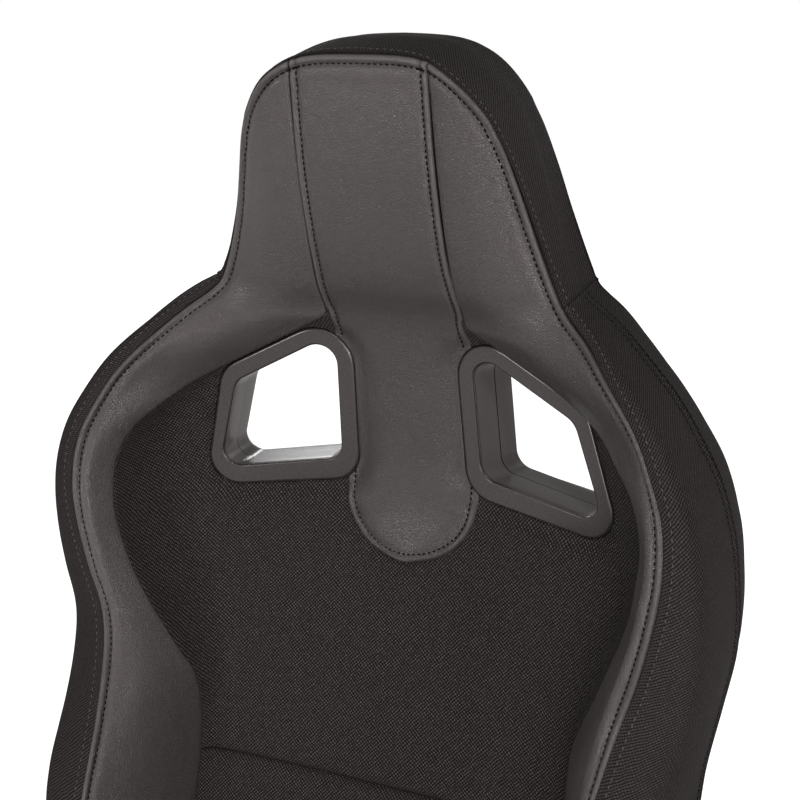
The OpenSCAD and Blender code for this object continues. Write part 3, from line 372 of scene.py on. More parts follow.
def carve(obj, cutters):
    """Takes closed cutters away from a closed piece, and applies the result."""
    for cutter in cutters:
        mod = obj.modifiers.new("carve", "BOOLEAN")
        mod.operation = "DIFFERENCE"
        mod.solver = "EXACT"
        mod.object = cutter
    depsgraph = bpy.context.evaluated_depsgraph_get()
    mesh = bpy.data.meshes.new_from_object(obj.evaluated_get(depsgraph))
    obj.modifiers.clear()
    obj.data = mesh


# ---- materials ----
def rgb(r, g, b):
    return (r, g, b, 1.0)


def shade(colour, factor):
    return rgb(*[c * factor for c in colour])


class Nodes:
    """Short calls that build the nodes of a material or of the world."""

    def __init__(self, tree):
        self.tree = tree

    def node(self, kind, settings=None, *ordered, **named):
        """A new node with its settings, and its sockets' values by place or by name."""
        made = self.tree.nodes.new("ShaderNode" + kind)
        for key, value in (settings or {}).items():
            setattr(made, key, value)
        for place, value in enumerate(ordered):
            self.put(made.inputs[place], value)
        for socket, value in named.items():
            self.put(made.inputs[socket], value)
        return made

    def put(self, socket, value):
        if isinstance(value, bpy.types.NodeSocket):
            self.tree.links.new(value, socket)
        else:
            socket.default_value = value

    def math(self, operation, a, b=0.0):
        return self.node("Math", {"operation": operation}, a, b).outputs[0]

    def times(self, a, b):
        return self.math("MULTIPLY", a, b)

    def seen(self, *rays):
        """1 for camera rays and the other kinds named, 0 for the rest."""
        path = self.node("LightPath").outputs
        share = path["Is Camera Ray"]
        for ray in rays:
            share = self.math("MAXIMUM", share, path["Is %s Ray" % ray])
        return share


class Finish(Nodes):
    """A node material with a Principled shader."""

    def __init__(self, name, **sockets):
        self.material = bpy.data.materials.new(name)
        self.material.use_nodes = True
        super().__init__(self.material.node_tree)
        self.shader = self.tree.nodes["Principled BSDF"]
        for socket, value in sockets.items():
            self.shader.inputs[socket.replace("_", " ")].default_value = value

    def where(self):
        return self.node("TexCoord").outputs["Object"]

    def ramp(self, value, low, high, lo_out=0.0, hi_out=1.0):
        return self.node("MapRange", None, value, low, high, lo_out, hi_out).outputs[0]

    def mix(self, factor, a, b):
        made = self.node("Mix", {"data_type": "RGBA"}, factor)
        self.put(made.inputs[6], a)
        self.put(made.inputs[7], b)
        return made.outputs[2]

    def cover(self, base, share, strength, colour):
        """The colour laid over base by share times strength."""
        return self.mix(self.times(share, strength), base, colour)

    def noise(self, where, scale, detail=2.0, roughness=0.5):
        return self.node("TexNoise", None, Vector=where, Scale=scale, Detail=detail,
                         Roughness=roughness).outputs[0]

    def shape(self, low, high, lo_out=0.0, hi_out=1.0):
        """A ramp from hollow to ridged parts of the surface; level parts are at 0.5."""
        pointed = self.node("NewGeometry").outputs["Pointiness"]
        return self.ramp(pointed, low, high, lo_out, hi_out)

    def shaded_hollows(self):
        """1 in sewn valleys and moulded grooves, where shade is painted, and 0 elsewhere."""
        return self.shape(0.43, 0.485, 1.0, 0.0)

    def rounded_edge(self, radius):
        return self.node("Bevel", {"samples": 6}, Radius=radius).outputs[0]

    def bump(self, height, strength, distance, below=None):
        made = self.node("Bump", None, Height=height, Strength=strength, Distance=distance)
        if below is not None:
            self.put(made.inputs["Normal"], below)
        return made.outputs[0]

    def finish(self, colour, roughness, normal):
        self.put(self.shader.inputs["Base Color"], colour)
        self.put(self.shader.inputs["Roughness"], roughness)
        self.put(self.shader.inputs["Normal"], normal)
        return self.material


def leatherette():
    """Dark grey coated fabric with a fine pebble grain, a painted highlight on its ridges and painted
    shade in its sewn valleys.
    """
    f = Finish("leatherette", Specular_IOR_Level=0.5, Specular_Tint=rgb(1.0, 0.93, 0.91))
    where = f.where()
    cells = f.node("TexVoronoi", {"feature": "DISTANCE_TO_EDGE"}, Vector=where, Scale=620.0)
    crease = f.ramp(cells.outputs["Distance"], 0.0, 0.18)
    fine = f.noise(where, 2600.0, 3.0)
    grain = f.ramp(f.noise(where, 560.0, 3.0, 0.65), 0.34, 0.66)
    broad = f.noise(where, 16.0, 3.0)
    base = f.mix(broad, rgb(0.046, 0.0398, 0.0384), rgb(0.062, 0.0537, 0.052))
    base = f.cover(base, grain, 0.42, rgb(0.026, 0.0228, 0.022))
    base = f.mix(f.ramp(crease, 0.0, 1.0, 0.6, 0.0), base, rgb(0.016, 0.0142, 0.0136))
    # Painted highlight: ridges and rolled edges are made paler.
    base = f.cover(base, f.shape(0.51, 0.57), 0.4, rgb(0.15, 0.133, 0.129))
    # Painted shade: the sewn valleys are darkened.
    base = f.cover(base, f.shaded_hollows(), 0.75, rgb(0.008, 0.0072, 0.007))
    rough = f.ramp(f.math("ADD", broad, f.times(fine, 0.5)), 0.4, 1.1, 0.3, 0.42)
    normal = f.bump(crease, 0.8, 0.0003)
    normal = f.bump(fine, 0.4, 0.00016, normal)
    normal = f.bump(f.noise(where, 210.0), 0.35, 0.0006, normal)
    return f.finish(base, rough, normal)


def woven(name, cell, dark, pale, slant=0.0, rib=0.0):
    """Plain weave, cell metres wide: pale yarn tops over dark ones, joined by slanting ribs."""
    f = Finish(name, Specular_IOR_Level=0.02, Sheen_Weight=0.01, Sheen_Roughness=0.5)
    uv = f.node("UVMap", {"uv_map": "UVMap"}).outputs["UV"]
    turn = f.node("VectorRotate", {"rotation_type": "Z_AXIS"}, Vector=uv, Angle=slant)
    wobble = f.node("TexNoise", None, Vector=uv, Scale=120.0, Detail=2.0).outputs["Color"]
    shift = f.node("VectorMath", {"operation": "MULTIPLY"}, wobble, (cell * 1.5, cell * 1.5, 0.0))
    place = f.node("VectorMath", {"operation": "ADD"}, turn.outputs[0], shift.outputs[0])
    split = f.node("SeparateXYZ", None, place.outputs[0])
    u = f.math("DIVIDE", split.outputs[0], cell)
    v = f.math("DIVIDE", split.outputs[1], cell)
    column, row = f.math("FLOOR", u), f.math("FLOOR", v)
    above = f.math("MODULO", f.math("ABSOLUTE", f.math("ADD", column, row)), 2.0)
    warp = f.math("SINE", f.times(f.math("FRACT", u), math.pi))
    weft = f.math("SINE", f.times(f.math("FRACT", v), math.pi))
    crown = f.times(warp, weft)
    knot = f.node("CombineXYZ", None, column, row, 0.0).outputs[0]
    chance = f.node("TexWhiteNoise", {"noise_dimensions": "2D"}, Vector=knot).outputs[0]
    fibre = f.noise(uv, 3800.0)
    broad = f.noise(uv, 11.0)
    lit = f.times(above, f.ramp(chance, 0.0, 1.0, 0.55, 1.0))
    lit = f.times(lit, f.math("POWER", crown, 0.6))
    waves = f.math("COSINE", f.times(f.math("ADD", u, v), math.pi))
    lit = f.math("MAXIMUM", lit, f.ramp(waves, -0.6, 1.0, 0.0, rib))
    lit = f.times(lit, f.ramp(fibre, 0.3, 0.7, 0.6, 1.2))
    ground = f.mix(broad, shade(dark, 0.8), shade(dark, 1.2))
    base = f.mix(lit, ground, rgb(*pale))
    # Painted shade: the sewn seams of the cloth are darkened.
    base = f.cover(base, f.shaded_hollows(), 0.6, rgb(0.003, 0.0026, 0.0025))
    height = f.math("ADD", crown, f.times(above, 0.4))
    return f.finish(base, f.ramp(fibre, 0.2, 0.8, 0.78, 0.97), f.bump(height, 0.45, cell * 0.3))


def thread(name, colour, shine):
    """Twisted yarn, darker between its strands."""
    f = Finish(name, Specular_IOR_Level=shine)
    twist = f.node("TexWave", {"bands_direction": "DIAGONAL"}, Vector=f.where(), Scale=900.0,
                   Distortion=1.0).outputs[1]
    base = f.mix(twist, shade(colour, 0.5), rgb(*colour))
    return f.finish(base, f.ramp(twist, 0, 1, 0.6, 0.75), f.bump(twist, 0.5, 0.0001))


def moulded(name, colour, rough, grain_scale, grain, edge=0.0, shine=0.5, speck=0.0,
            tint=(1.0, 1.0, 1.0)):
    """Moulded plastic with a sparked grain, a painted highlight on its ridges and edges, and painted
    shade in its grooves and parting lines.
    """
    f = Finish(name, Specular_IOR_Level=shine, Specular_Tint=rgb(*tint))
    where = f.where()
    sparks = f.noise(where, grain_scale, 3.0, 0.6)
    broad = f.noise(where, 18.0, 3.0)
    base = f.mix(broad, shade(colour, 0.85), shade(colour, 1.2))
    # Painted highlight: ridges and edges are made paler.
    base = f.cover(base, f.shape(0.5, 0.58), 0.25, shade(colour, 2.5))
    # Painted shade: grooves and parting lines are darkened.
    base = f.cover(base, f.shaded_hollows(), 0.85, shade(colour, 0.12))
    if speck:
        spots = f.ramp(f.noise(where, 640.0, 2.0, 0.7), 0.4, 0.65)
        base = f.cover(base, spots, speck, shade(colour, 3.0))
    roughness = f.ramp(f.math("ADD", broad, f.times(sparks, 0.4)), 0.4, 1.0,
                       rough - 0.05, rough + 0.07)
    below = f.rounded_edge(edge) if edge else None
    return f.finish(base, roughness, f.bump(sparks, grain, 0.00015, below))


def metal(name, colour, rough, metallic, grain_scale, stretch=(1.0, 1.0, 1.0)):
    """Plated or powder-coated steel with uneven gloss and rounded edges."""
    f = Finish(name, Metallic=metallic, Specular_IOR_Level=0.5)
    where = f.where()
    drawn = f.node("Mapping", None, Vector=where, Scale=stretch).outputs[0]
    grain = f.noise(drawn, grain_scale, 4.0, 0.6)
    broad = f.noise(where, 22.0, 4.0, 0.6)
    base = f.mix(broad, shade(colour, 0.78), shade(colour, 1.12))
    roughness = f.ramp(f.math("ADD", broad, f.times(grain, 0.5)), 0.4, 1.1,
                       rough - 0.08, rough + 0.12)
    return f.finish(base, roughness, f.bump(grain, 0.12, 0.0002, f.rounded_edge(0.0007)))


LOOKS = {"leather": leatherette(),
         "centre_fabric": woven("centre_weave", 0.00158, (0.0125, 0.0106, 0.0101),
                                (0.112, 0.098, 0.0945), -0.05),
         "side_fabric": woven("side_weave", 0.00148, (0.0125, 0.0107, 0.0103),
                              (0.078, 0.0675, 0.065), -0.16, 0.5),
         "shell_plastic": moulded("shell_plastic", (0.0145, 0.0138, 0.0135), 0.42, 1100.0, 0.3)}
THREAD = thread("dark_thread", (0.004, 0.0036, 0.0035), 0.05)
SIDE_THREAD = thread("side_thread", (0.13, 0.117, 0.112), 0.1)
BEZEL = moulded("slot_plastic", (0.018, 0.0159, 0.0153), 0.2, 1300.0, 0.2, shine=0.45,
                speck=0.35, tint=(1.0, 0.92, 0.9))
# The tunnels' plastic with nearly no gloss and a base colour far paler than the plate's: painted
# reflection in place of its gloss.
TUNNEL_PAINTED_REFLECTION = moulded("tunnel_plastic_painted_reflection", (0.105, 0.0945, 0.0915), 0.22, 900.0, 0.05, shine=0.02)
# A near-black sheet on the walls of the parting groove: painted shadow in the gap between the tunnel
# halves.
PAINTED_GROOVE_SHADOW = moulded("parting_groove_painted_shadow", (0.005, 0.0046, 0.0045), 0.6, 900.0, 0.05, shine=0.02)
TRIM = moulded("trim_plastic", (0.015, 0.015, 0.0155), 0.48, 1100.0, 0.35, 0.0012)
GRIP = moulded("lever_plastic", (0.013, 0.013, 0.013), 0.42, 900.0, 0.3, 0.0012)
CAGE = moulded("cage_plastic", (0.60, 0.59, 0.55), 0.45, 900.0, 0.1, 0.0004)
COATED = metal("powder_coat", (0.018, 0.018, 0.0185), 0.42, 0.0, 1500.0)
PLATED = metal("zinc_plate", (0.52, 0.52, 0.53), 0.34, 1.0, 500.0)
RAIL = metal("rail_steel", (0.46, 0.46, 0.47), 0.32, 1.0, 700.0, (1.0, 0.05, 1.0))
WIRE = metal("spring_wire", (0.30, 0.30, 0.31), 0.3, 1.0, 800.0)


# ---- stitches ----
def stitches(name, line, facing, pitch, material=None, size=LEATHER_YARN,
             body="backrest"):
    """A row of stitches along a line of points, each arched and sunk at both ends.

    The size of a stitch is its length and the radius of its yarn.
    """
    at = length_along(line)
    count = max(1, int(at[-1] / pitch))
    middle = (np.arange(count) + 0.5) * at[-1] / count

    def along(values, where):
        return np.stack([np.interp(where, at, values[:, k]) for k in range(3)], 1)

    centre_points = along(line, middle)
    t = unit(along(line, middle + 0.6) - along(line, middle - 0.6))
    n = unit(along(facing, middle))
    across = unit(np.cross(t, n))
    n = np.cross(across, t)
    length, radius = size
    corners = 6
    verts = []
    for u in (-0.5, -0.4, -0.15, 0.15, 0.4, 0.5):
        thick = radius * math.sqrt(max(0.05, 1 - (2 * u) ** 4))
        rise = 0.64 * radius * (1 - (2 * u) ** 2) - 0.35 * radius
        for a in np.arange(corners) * 2 * math.pi / corners:
            verts.append(centre_points + t * (u * length) + n * (rise + thick * math.sin(a))
                         + across * thick * math.cos(a))
    each = len(verts)
    one = flipped(ring_faces(each // corners, corners))
    one += [list(range(corners)), list(range(each - 1, each - 1 - corners, -1))]
    faces = [[each * s + v for v in face] for s in range(count) for face in one]
    make(name, np.stack(verts, 1).reshape(-1, 3), faces, material or THREAD, body)


def level_line(points, field, value, side):
    """Where field first reaches value, going in from one side of a grid, with normals."""
    facing = normals(points)
    if side == "top":
        points, facing = points.transpose(1, 0, 2), facing.transpose(1, 0, 2)
        field = field.T
    if side != "left":
        points, facing, field = points[:, ::-1], facing[:, ::-1], field[:, ::-1]
    found = []
    for p, n, d in zip(points, facing, field):
        reached = np.flatnonzero(d >= value)
        if len(reached) and reached[0] > 0:
            j = reached[0]
            u = (value - d[j - 1]) / max(d[j] - d[j - 1], 1e-9)
            found.append(np.concatenate([p[j - 1] + (p[j] - p[j - 1]) * u,
                                         n[j - 1] + (n[j] - n[j - 1]) * u]))
    found = np.array(found)
    return found[:, :3], found[:, 3:]


# ---- harness slots ----
def grow(outline, by):
    """A convex anticlockwise outline, every side moved out by the same distance."""
    step = np.roll(outline, -1, axis=0) - outline
    facing = unit(np.stack([step[:, 1], -step[:, 0]], 1))
    before = np.roll(facing, 1, axis=0)
    return outline + by * (before + facing) / (1 + (before * facing).sum(1, keepdims=True))


def rounded(outline, radii, steps=9):
    """The outline with its corners turned into arcs."""
    points = []
    for i, corner in enumerate(outline):
        u = unit(outline[i - 1] - corner)
        v = unit(outline[(i + 1) % len(outline)] - corner)
        half = math.acos(u @ v) / 2
        centre = corner + unit(u + v) * radii[i] / math.sin(half)
        start = corner + u * radii[i] / math.tan(half) - centre
        end = corner + v * radii[i] / math.tan(half) - centre
        a0 = math.atan2(start[1], start[0])
        sweep = (math.atan2(end[1], end[0]) - a0 + math.pi) % (2 * math.pi) - math.pi
        for k in range(steps + 1):
            a = a0 + sweep * k / steps
            points.append(centre + radii[i] * np.array([math.cos(a), math.sin(a)]))
    return np.array(points)


def from_slot(local):
    """Points in a slot plate's own frame (across, deep, up), placed in the seat."""
    return local @ SLOT_TURN + SLOT_ORG


def to_slot(points):
    return (points - SLOT_ORG) @ SLOT_TURN.T


def plate_ring(outline, depth):
    return from_slot(stack(outline[:, 0], depth, outline[:, 1]))


def tunnel_ring(outline, depth):
    """The outline carried along the sloping tunnel to a depth behind the plate's face."""
    up = outline[:, 1] / math.cos(SLOT_DROP) - depth * math.tan(SLOT_DROP)
    return from_slot(stack(outline[:, 0], depth, up))


def opening(by):
    return rounded(grow(SLOT_IN, by), SLOT_R_IN + by)


def plate(by):
    return rounded(grow(SLOT_OUT, by), SLOT_R_OUT + by)


def lofted_frame(name, node, loops, materials, bands):
    """A ring-shaped moulding on each side, whose section runs through the loops and closes.

    A band between two loops has the first material, or the one that bands gives for it.
    """
    rings = np.stack(loops)
    rows, cols = rings.shape[:2]
    faces = flipped(ring_faces(rows, cols, joined=True))
    for side, sign in SIDES:
        verts = (rings * [sign, 1, 1]).reshape(-1, 3)
        piece = make(name + "_" + side, verts, faces if sign > 0 else flipped(faces),
                     materials[0])
        piece.modifiers.new("flat_sides", "WEIGHTED_NORMAL")
        for material in materials[1:]:
            piece.data.materials.append(material)
        for band, place in bands.items():
            for face in piece.data.polygons[band * cols:(band + 1) * cols]:
                face.material_index = place
        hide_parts(node + "_" + side)


def slot_mouldings():
    """The plate with its front half tunnel, and the rear half tunnel that meets it."""
    r_out, r_in = 2.2, 1.6
    mouth = [(PARTING_GROOVE, PARTING), (0.1, PARTING - 0.7), (0, PARTING - 1), (0, 12),
             (0, r_in + 2.6), (LIP_GROOVE, r_in + 2.2), (LIP_GROOVE, r_in + 0.8),
             (0, r_in + 0.4)]
    lip = [(r_in * (1 - math.cos(a)), r_in * (1 - math.sin(a))) for a in np.radians((0, 30, 60, 90))]
    face = [(-r_out - 0.4, 0)]
    face += [(-r_out * (1 - math.cos(a)), r_out * (1 - math.sin(a)))
             for a in np.radians((90, 65, 40, 20, 0))]
    face += [(0, BEZEL_T - 0.3), (-0.3, BEZEL_T)]
    behind = [(TUNNEL_WALL + 0.2, BEZEL_T), (TUNNEL_WALL, BEZEL_T + 1),
              (TUNNEL_WALL, PARTING - 0.4), (TUNNEL_WALL - 0.4, PARTING)]
    loops = [tunnel_ring(opening(by), depth) for by, depth in mouth + lip]
    loops += [plate_ring(plate(by), depth) for by, depth in face]
    loops += [tunnel_ring(opening(by), depth) for by, depth in behind]
    # Band 0, the front wall of the parting groove, takes the painted groove shadow; the other tunnel
    # bands take the tunnel plastic.
    bands = {band: 1 for band in range(1, len(mouth) - 1)} | {0: 2}
    lofted_frame("slot_plate", "slot_bezel", loops, (BEZEL, TUNNEL_PAINTED_REFLECTION, PAINTED_GROOVE_SHADOW), bands)

    step = TUNNEL_STEP
    rear = [(step + 0.3, TUNNEL_END), (step, TUNNEL_END - 0.8), (step, 42), (step, PARTING + 1.1),
            (step + 0.1, PARTING + 0.8), (PARTING_GROOVE, PARTING + 0.1),
            (TUNNEL_WALL - 0.3, PARTING + 0.1), (TUNNEL_WALL, PARTING + 0.7),
            (TUNNEL_WALL, TUNNEL_END - 0.5), (TUNNEL_WALL - 0.4, TUNNEL_END)]
    loops = [tunnel_ring(opening(by), depth) for by, depth in rear]
    # Bands 3 and 4, the walls of the parting groove, take the painted groove shadow.
    lofted_frame("slot_rear_half", "slot_tunnel", loops, (TUNNEL_PAINTED_REFLECTION, PAINTED_GROOVE_SHADOW), {3: 1, 4: 1})


def prism(name, near, far):
    """A closed scratch solid between two loops, for carving, on both sides of the seat."""
    pair = []
    count = len(near)
    faces = [list(range(count)), list(range(2 * count - 1, count - 1, -1))]
    faces += flipped(ring_faces(2, count))
    for _, sign in SIDES:
        verts = np.concatenate([near, far]) * [sign, 1, 1] * MM
        mesh = bpy.data.meshes.new(name)
        mesh.from_pydata(verts.tolist(), [], faces if sign > 0 else flipped(faces))
        pair.append(add(name, mesh))
    return pair


def sink_at_slots(points, rim_gap, reach=16.0):
    """Draws a cover back to just under the face of the slot plates round their outlines."""
    outline = plate(0)
    line = np.concatenate([outline, outline[:1]])
    for _, sign in SIDES:
        q = to_slot(points * [sign, 1, 1])
        flat = q[..., [0, 2]]
        away = line_distance(flat, line)
        away[inside(flat, outline)] = 0
        w = np.clip(1 - away / reach, 0, 1)
        w = w * w * (3 - 2 * w) * (np.abs(q[..., 1]) < SLOT_NEAR)
        q[..., 1] += (rim_gap - q[..., 1]) * w
        points = from_slot(q) * [sign, 1, 1]
    return points


# ---- backrest surfaces, at heights above the slot corner ----
def lift(z):
    return np.where(z > LIFT_Z, CROWN_H * (np.maximum(z - LIFT_Z, 0) / (TOP_Z - LIFT_Z)) ** 2, 0)


def face_y(x, z):
    """Face of the centre panel at a distance x from the spine."""
    s = smooth(SEAM_X, z)
    a = np.arcsin(np.minimum(1, x / s)) / (math.pi / 2)
    flare = smooth(FLARE, z)
    mid = smooth(MID_Y, z + lift(z))
    base = mid - flare * np.maximum(0, x - FLAT_HALF)
    at_seam = mid - flare * np.maximum(0, s - FLAT_HALF)
    groove = 4 * bell(z - SEAM_Z, 5) * (1 - a**8)
    return base + (smooth(SEAM_Y, z) - at_seam) * a**5 + groove


def raised(z, x):
    return z + lift(z) * (1 - np.abs(x / smooth(EDGE_X, z)) ** CROWN_POWER)


def wing(z, b):
    """Leather wing: b runs from the seam to the outer edge."""
    s, e = smooth(SEAM_X, z), smooth(EDGE_X, z)
    ys, ye = smooth(SEAM_Y, z), smooth(EDGE_Y, z)
    x = s + (e - s) * b
    full = 1.3 * np.sin(math.pi * b) * (1 - 0.5 * b)
    y = ys + (ye - ys) * b ** smooth(ROLL, z) - smooth(SWELL, z) * full
    return stack(x, y, raised(z, x)) + BACK_O


def centre(z, x):
    """Centre panel at a signed distance x from the spine."""
    return stack(x, face_y(np.abs(x), z), raised(z, x)) + BACK_O


def foam_back(points, z):
    """The rear of the foam behind each point of a front grid."""
    q = points - BACK_O
    mid = smooth(MID_Y, z + lift(z))
    share = np.minimum(1, np.abs(q[..., 0]) / smooth(EDGE_X, z))
    y = np.maximum(mid + PAD_DEPTH - smooth(DIP, z) * share**2, mid - DIP_LIMIT)
    y = np.maximum(y, q[..., 1] + FOAM_LEAST)
    return stack(q[..., 0], y, q[..., 2]) + BACK_O


def by_length(surface, z, start, end, middle):
    """Columns at fixed lengths in from both borders and evenly between, row by row."""
    dense = np.linspace(0, 1, 160)
    points = surface(z[:, None], dense[None])
    run = length_along(points)
    total = run[:, -1:]
    start, end = np.array(start), np.array(end)
    squeeze = np.minimum(1, 0.92 * total / (start[-1] + end[-1]))
    a = start[None] * squeeze
    c = total - end[None, ::-1] * squeeze
    u = np.linspace(0, 1, middle + 2)[1:-1]
    b = a[:, -1:] + (c[:, :1] - a[:, -1:]) * u
    want = np.concatenate([a, b, c], 1)
    params = np.stack([np.interp(w, r, dense) for w, r in zip(want, run)])
    return surface(z[:, None], params)


def half_centre(z):
    """Half width of the leather centre panel, rounded off at its tongue."""
    open_part = np.where(z > 150, smooth(SEAM_X, np.maximum(z, FABRIC_TOP)), TONGUE_HALF)
    drop = np.maximum(0, TONGUE_Z - z) / TONGUE_TIP
    return np.where(z < TONGUE_Z, TONGUE_HALF * np.sqrt(np.clip(1 - drop**2, 0, 1)), open_part)


def edge_lines():
    """The leather's outer edge on one side, up and over to the spine, as a 3-D line."""
    z = np.linspace(FOOT_Z, TOP_Z, 260)
    up = wing(z, np.ones_like(z))
    b = np.linspace(1, 0, 30)[1:]
    over = wing(np.full_like(b, TOP_Z), b)
    x = np.linspace(smooth(SEAM_X, TOP_Z), 0, 30)[1:]
    return np.concatenate([up, over, centre(np.full_like(x, TOP_Z), x)])


def puckers(points, field, where):
    """Small gathers across a stitched edge."""
    run = length_along(points.transpose(1, 0, 2)).T
    near = bell(field - where, GATHER_REACH)
    return GATHER_HEIGHT * near * (np.sin(run * 0.62) + 0.6 * np.sin(run * 0.29 + 1))


def leather_wings(cutters):
    z = spaced(FOOT_Z, TOP_Z, 3.5, (TOP_Z, FOOT_Z), 0.7)
    base = by_length(wing, z, PLAIN, BORDER, 16)
    seam_z = np.linspace(FOOT_Z, TOP_Z, 240)
    seam = wing(seam_z, np.zeros_like(seam_z))
    foot = wing(np.full(30, float(FOOT_Z)), np.linspace(0, 1, 30))
    outer = line_distance(base, edge_lines())
    inner = np.minimum(line_distance(base, seam), line_distance(base, foot))
    height = np.maximum(smooth(EDGE_ROLL, outer) + smooth(TUCK, inner), -3.6)
    front = puffed(base, height + puckers(base, outer, EDGE_STITCH))
    back = foam_back(base, z[:, None])
    up, up_facing = level_line(front, outer, EDGE_STITCH, "right")
    top, top_facing = level_line(front, outer, EDGE_STITCH, "top")
    line = np.concatenate([up, top[::-1]])
    facing = np.concatenate([up_facing, top_facing[::-1]])
    for side, sign in SIDES:
        piece = closed("leather_wing_" + side, turned(front, sign), turned(back, sign), "leather")
        carve(piece, cutters)
        sewn(piece, 0.8, "back_bolster_" + side)
        stitches("edge_stitch_" + side, line * [sign, 1, 1], facing * [sign, 1, 1], EDGE_PITCH)


def leather_centre(cutters):
    """Centre panel from the crown down between the slots to its rounded tongue."""
    tip = TONGUE_Z - TONGUE_TIP * np.cos(np.linspace(0, math.pi / 2, 18))
    tip[0] += 0.04
    z = np.concatenate([tip, spaced(-5, TOP_Z, 3.5, (TOP_Z,), 0.7)])
    half = half_centre(z)
    near = np.array([0, 0.5, 1.1, 2, 3.2, 4.4, 5.2, 6, 6.8, 8.2, 10.5, 14])
    left = near[None] * np.minimum(1, half[:, None] * 0.9 / near[-1])
    inwards = np.linspace(0, 1, 12)[1:-1]
    left_end, right_end = left[:, -1:], 2 * half[:, None] - left[:, -1:]
    cols = np.concatenate([left, left_end + (right_end - left_end) * inwards,
                           2 * half[:, None] - left[:, ::-1]], 1) - half[:, None]
    base = centre(z[:, None], cols)
    right_line = centre(z, half)
    border = np.concatenate([(right_line * [-1, 1, 1])[::-1], right_line])
    top = centre(np.full(40, float(TOP_Z)), np.linspace(-half[-1], half[-1], 40))

    def cover_height(zz, x, surface):
        """How far the sewn cover stands up from the foam."""
        sides, crown = line_distance(surface, border), line_distance(surface, top)
        sewn_on = smooth([[0, 1], [40, 0], [308, 0]], zz)
        height = (smooth(SEAM_ROLL, sides) * (1 - sewn_on)
                  + smooth(TONGUE_ROLL, sides) * sewn_on + smooth(EDGE_ROLL, crown))
        full = smooth([[-60, 1], [60, 1], [170, 0], [308, 0]], zz)
        crest = CENTRE_CROWN * full * (1 - (x / np.maximum(half_centre(zz), 1)) ** 2)
        return sides, crown, np.maximum(height, -3.4) + np.maximum(crest, 0)

    sides, crown, height = cover_height(z[:, None], cols, base)
    front = sink_at_slots(puffed(base, height + puckers(base, sides, SEAM_STITCH)),
                          LEATHER_SINK)
    piece = closed("leather_centre", front, foam_back(base, z[:, None]), "leather")
    carve(piece, cutters)
    sewn(piece, 0.9, "headrest_pad", "back_tongue")
    low = z[:, None] * np.ones_like(sides) < STITCH_FOOT
    for side, _ in SIDES:
        line, facing = level_line(front, np.where(low, 0, np.minimum(sides, crown)),
                                  SEAM_STITCH, side)
        stitches("centre_stitch_" + side, line, facing, SEAM_PITCH)
    turn = np.linspace(0, math.pi, 80)
    straight = np.linspace(TONGUE_STITCH_TOP, TONGUE_Z, 12)[:-1]
    radius_x, radius_z = TONGUE_HALF - SEAM_STITCH, TONGUE_TIP - SEAM_STITCH
    stitch_x = np.concatenate([0 * straight - radius_x, -radius_x * np.cos(turn),
                               0 * straight + radius_x])
    stitch_z = np.concatenate([straight, TONGUE_Z - radius_z * np.sin(turn), straight[::-1]])
    line = centre(stitch_z, stitch_x)
    step = centre(stitch_z + 0.5, stitch_x) - line
    facing = unit(np.cross(centre(stitch_z, stitch_x + 0.5) - line, step))
    height = cover_height(stitch_z, stitch_x, line)[2]
    line = sink_at_slots(line + facing * height[:, None], LEATHER_SINK)
    stitches("tongue_stitch", line, facing, SEAM_PITCH)
    line, facing = level_line(front, crown, EDGE_STITCH, "top")
    stitches("crown_stitch", line, facing, EDGE_PITCH)


def fabric_centre(cutters):
    """Woven centre panel with its sewn cross seam at the lumbar."""
    z = spaced(FOOT_Z, FABRIC_TOP, 4.0, (SEAM_Z, FOOT_Z), 0.8)

    def panel(zz, a):
        return centre(zz, smooth(SEAM_X, zz) * np.sin((a - 0.5) * math.pi))

    base = by_length(panel, z, PLAIN, PLAIN, 34)
    seam_z = np.linspace(FOOT_Z, FABRIC_TOP, 220)
    seam = panel(seam_z, np.ones_like(seam_z))
    sides = np.minimum(line_distance(base, seam), line_distance(base, seam * [-1, 1, 1]))
    ends = line_distance(base, panel(np.full(60, float(FOOT_Z)), np.linspace(0, 1, 60)))
    height = np.maximum(smooth(TUCK, sides) + smooth(TUCK, ends), -3.2)
    off = np.abs(z[:, None] - SEAM_Z)
    height = height - 1.9 * bell(off, 0.9) + 0.5 * bell(off - 4, 2.5)
    front = sink_at_slots(puffed(base, height), FABRIC_SINK)
    piece = closed("fabric_centre", front, foam_back(base, z[:, None]), "centre_fabric")
    carve(piece, cutters)
    sewn(piece, 0.8, "back_insert")


# ---- gussets ----
def rim_stations():
    """The leather edge from foot to spine: points, outward normals, height keys, crown share."""
    z = spaced(FOOT_Z, TOP_Z, 4.0, (NECK_Z,), 0.8, 6)
    up = np.stack([smooth(EDGE_X, z), smooth(EDGE_Y, z), z], 1)
    b = np.linspace(1, 0, 14)[1:]
    x = np.linspace(smooth(SEAM_X, TOP_Z), 0, 14)[1:]
    top = np.concatenate([wing(np.full_like(b, TOP_Z), b),
                          centre(np.full_like(x, TOP_Z), x)]) - BACK_O
    points = np.concatenate([up, top])
    share = np.concatenate([0 * z, (1 - b) * 4 / 9, 4 / 9 + (1 - x / x[0]) * 5 / 9])
    t = np.gradient(points[:, [0, 2]], axis=0)
    t[-1] = [-1, 0]
    t = unit(t)
    facing = np.stack([t[:, 1], 0 * t[:, 0], -t[:, 0]], 1)
    run = length_along(points)
    weight = np.exp(-0.5 * ((run[:, None] - run) / CORNER_BLEND) ** 2) * np.gradient(run)
    keys = np.where(share > 0, TOP_Z, np.minimum(points[:, 2], TOP_Z))
    return points, unit(weight @ facing), keys, share


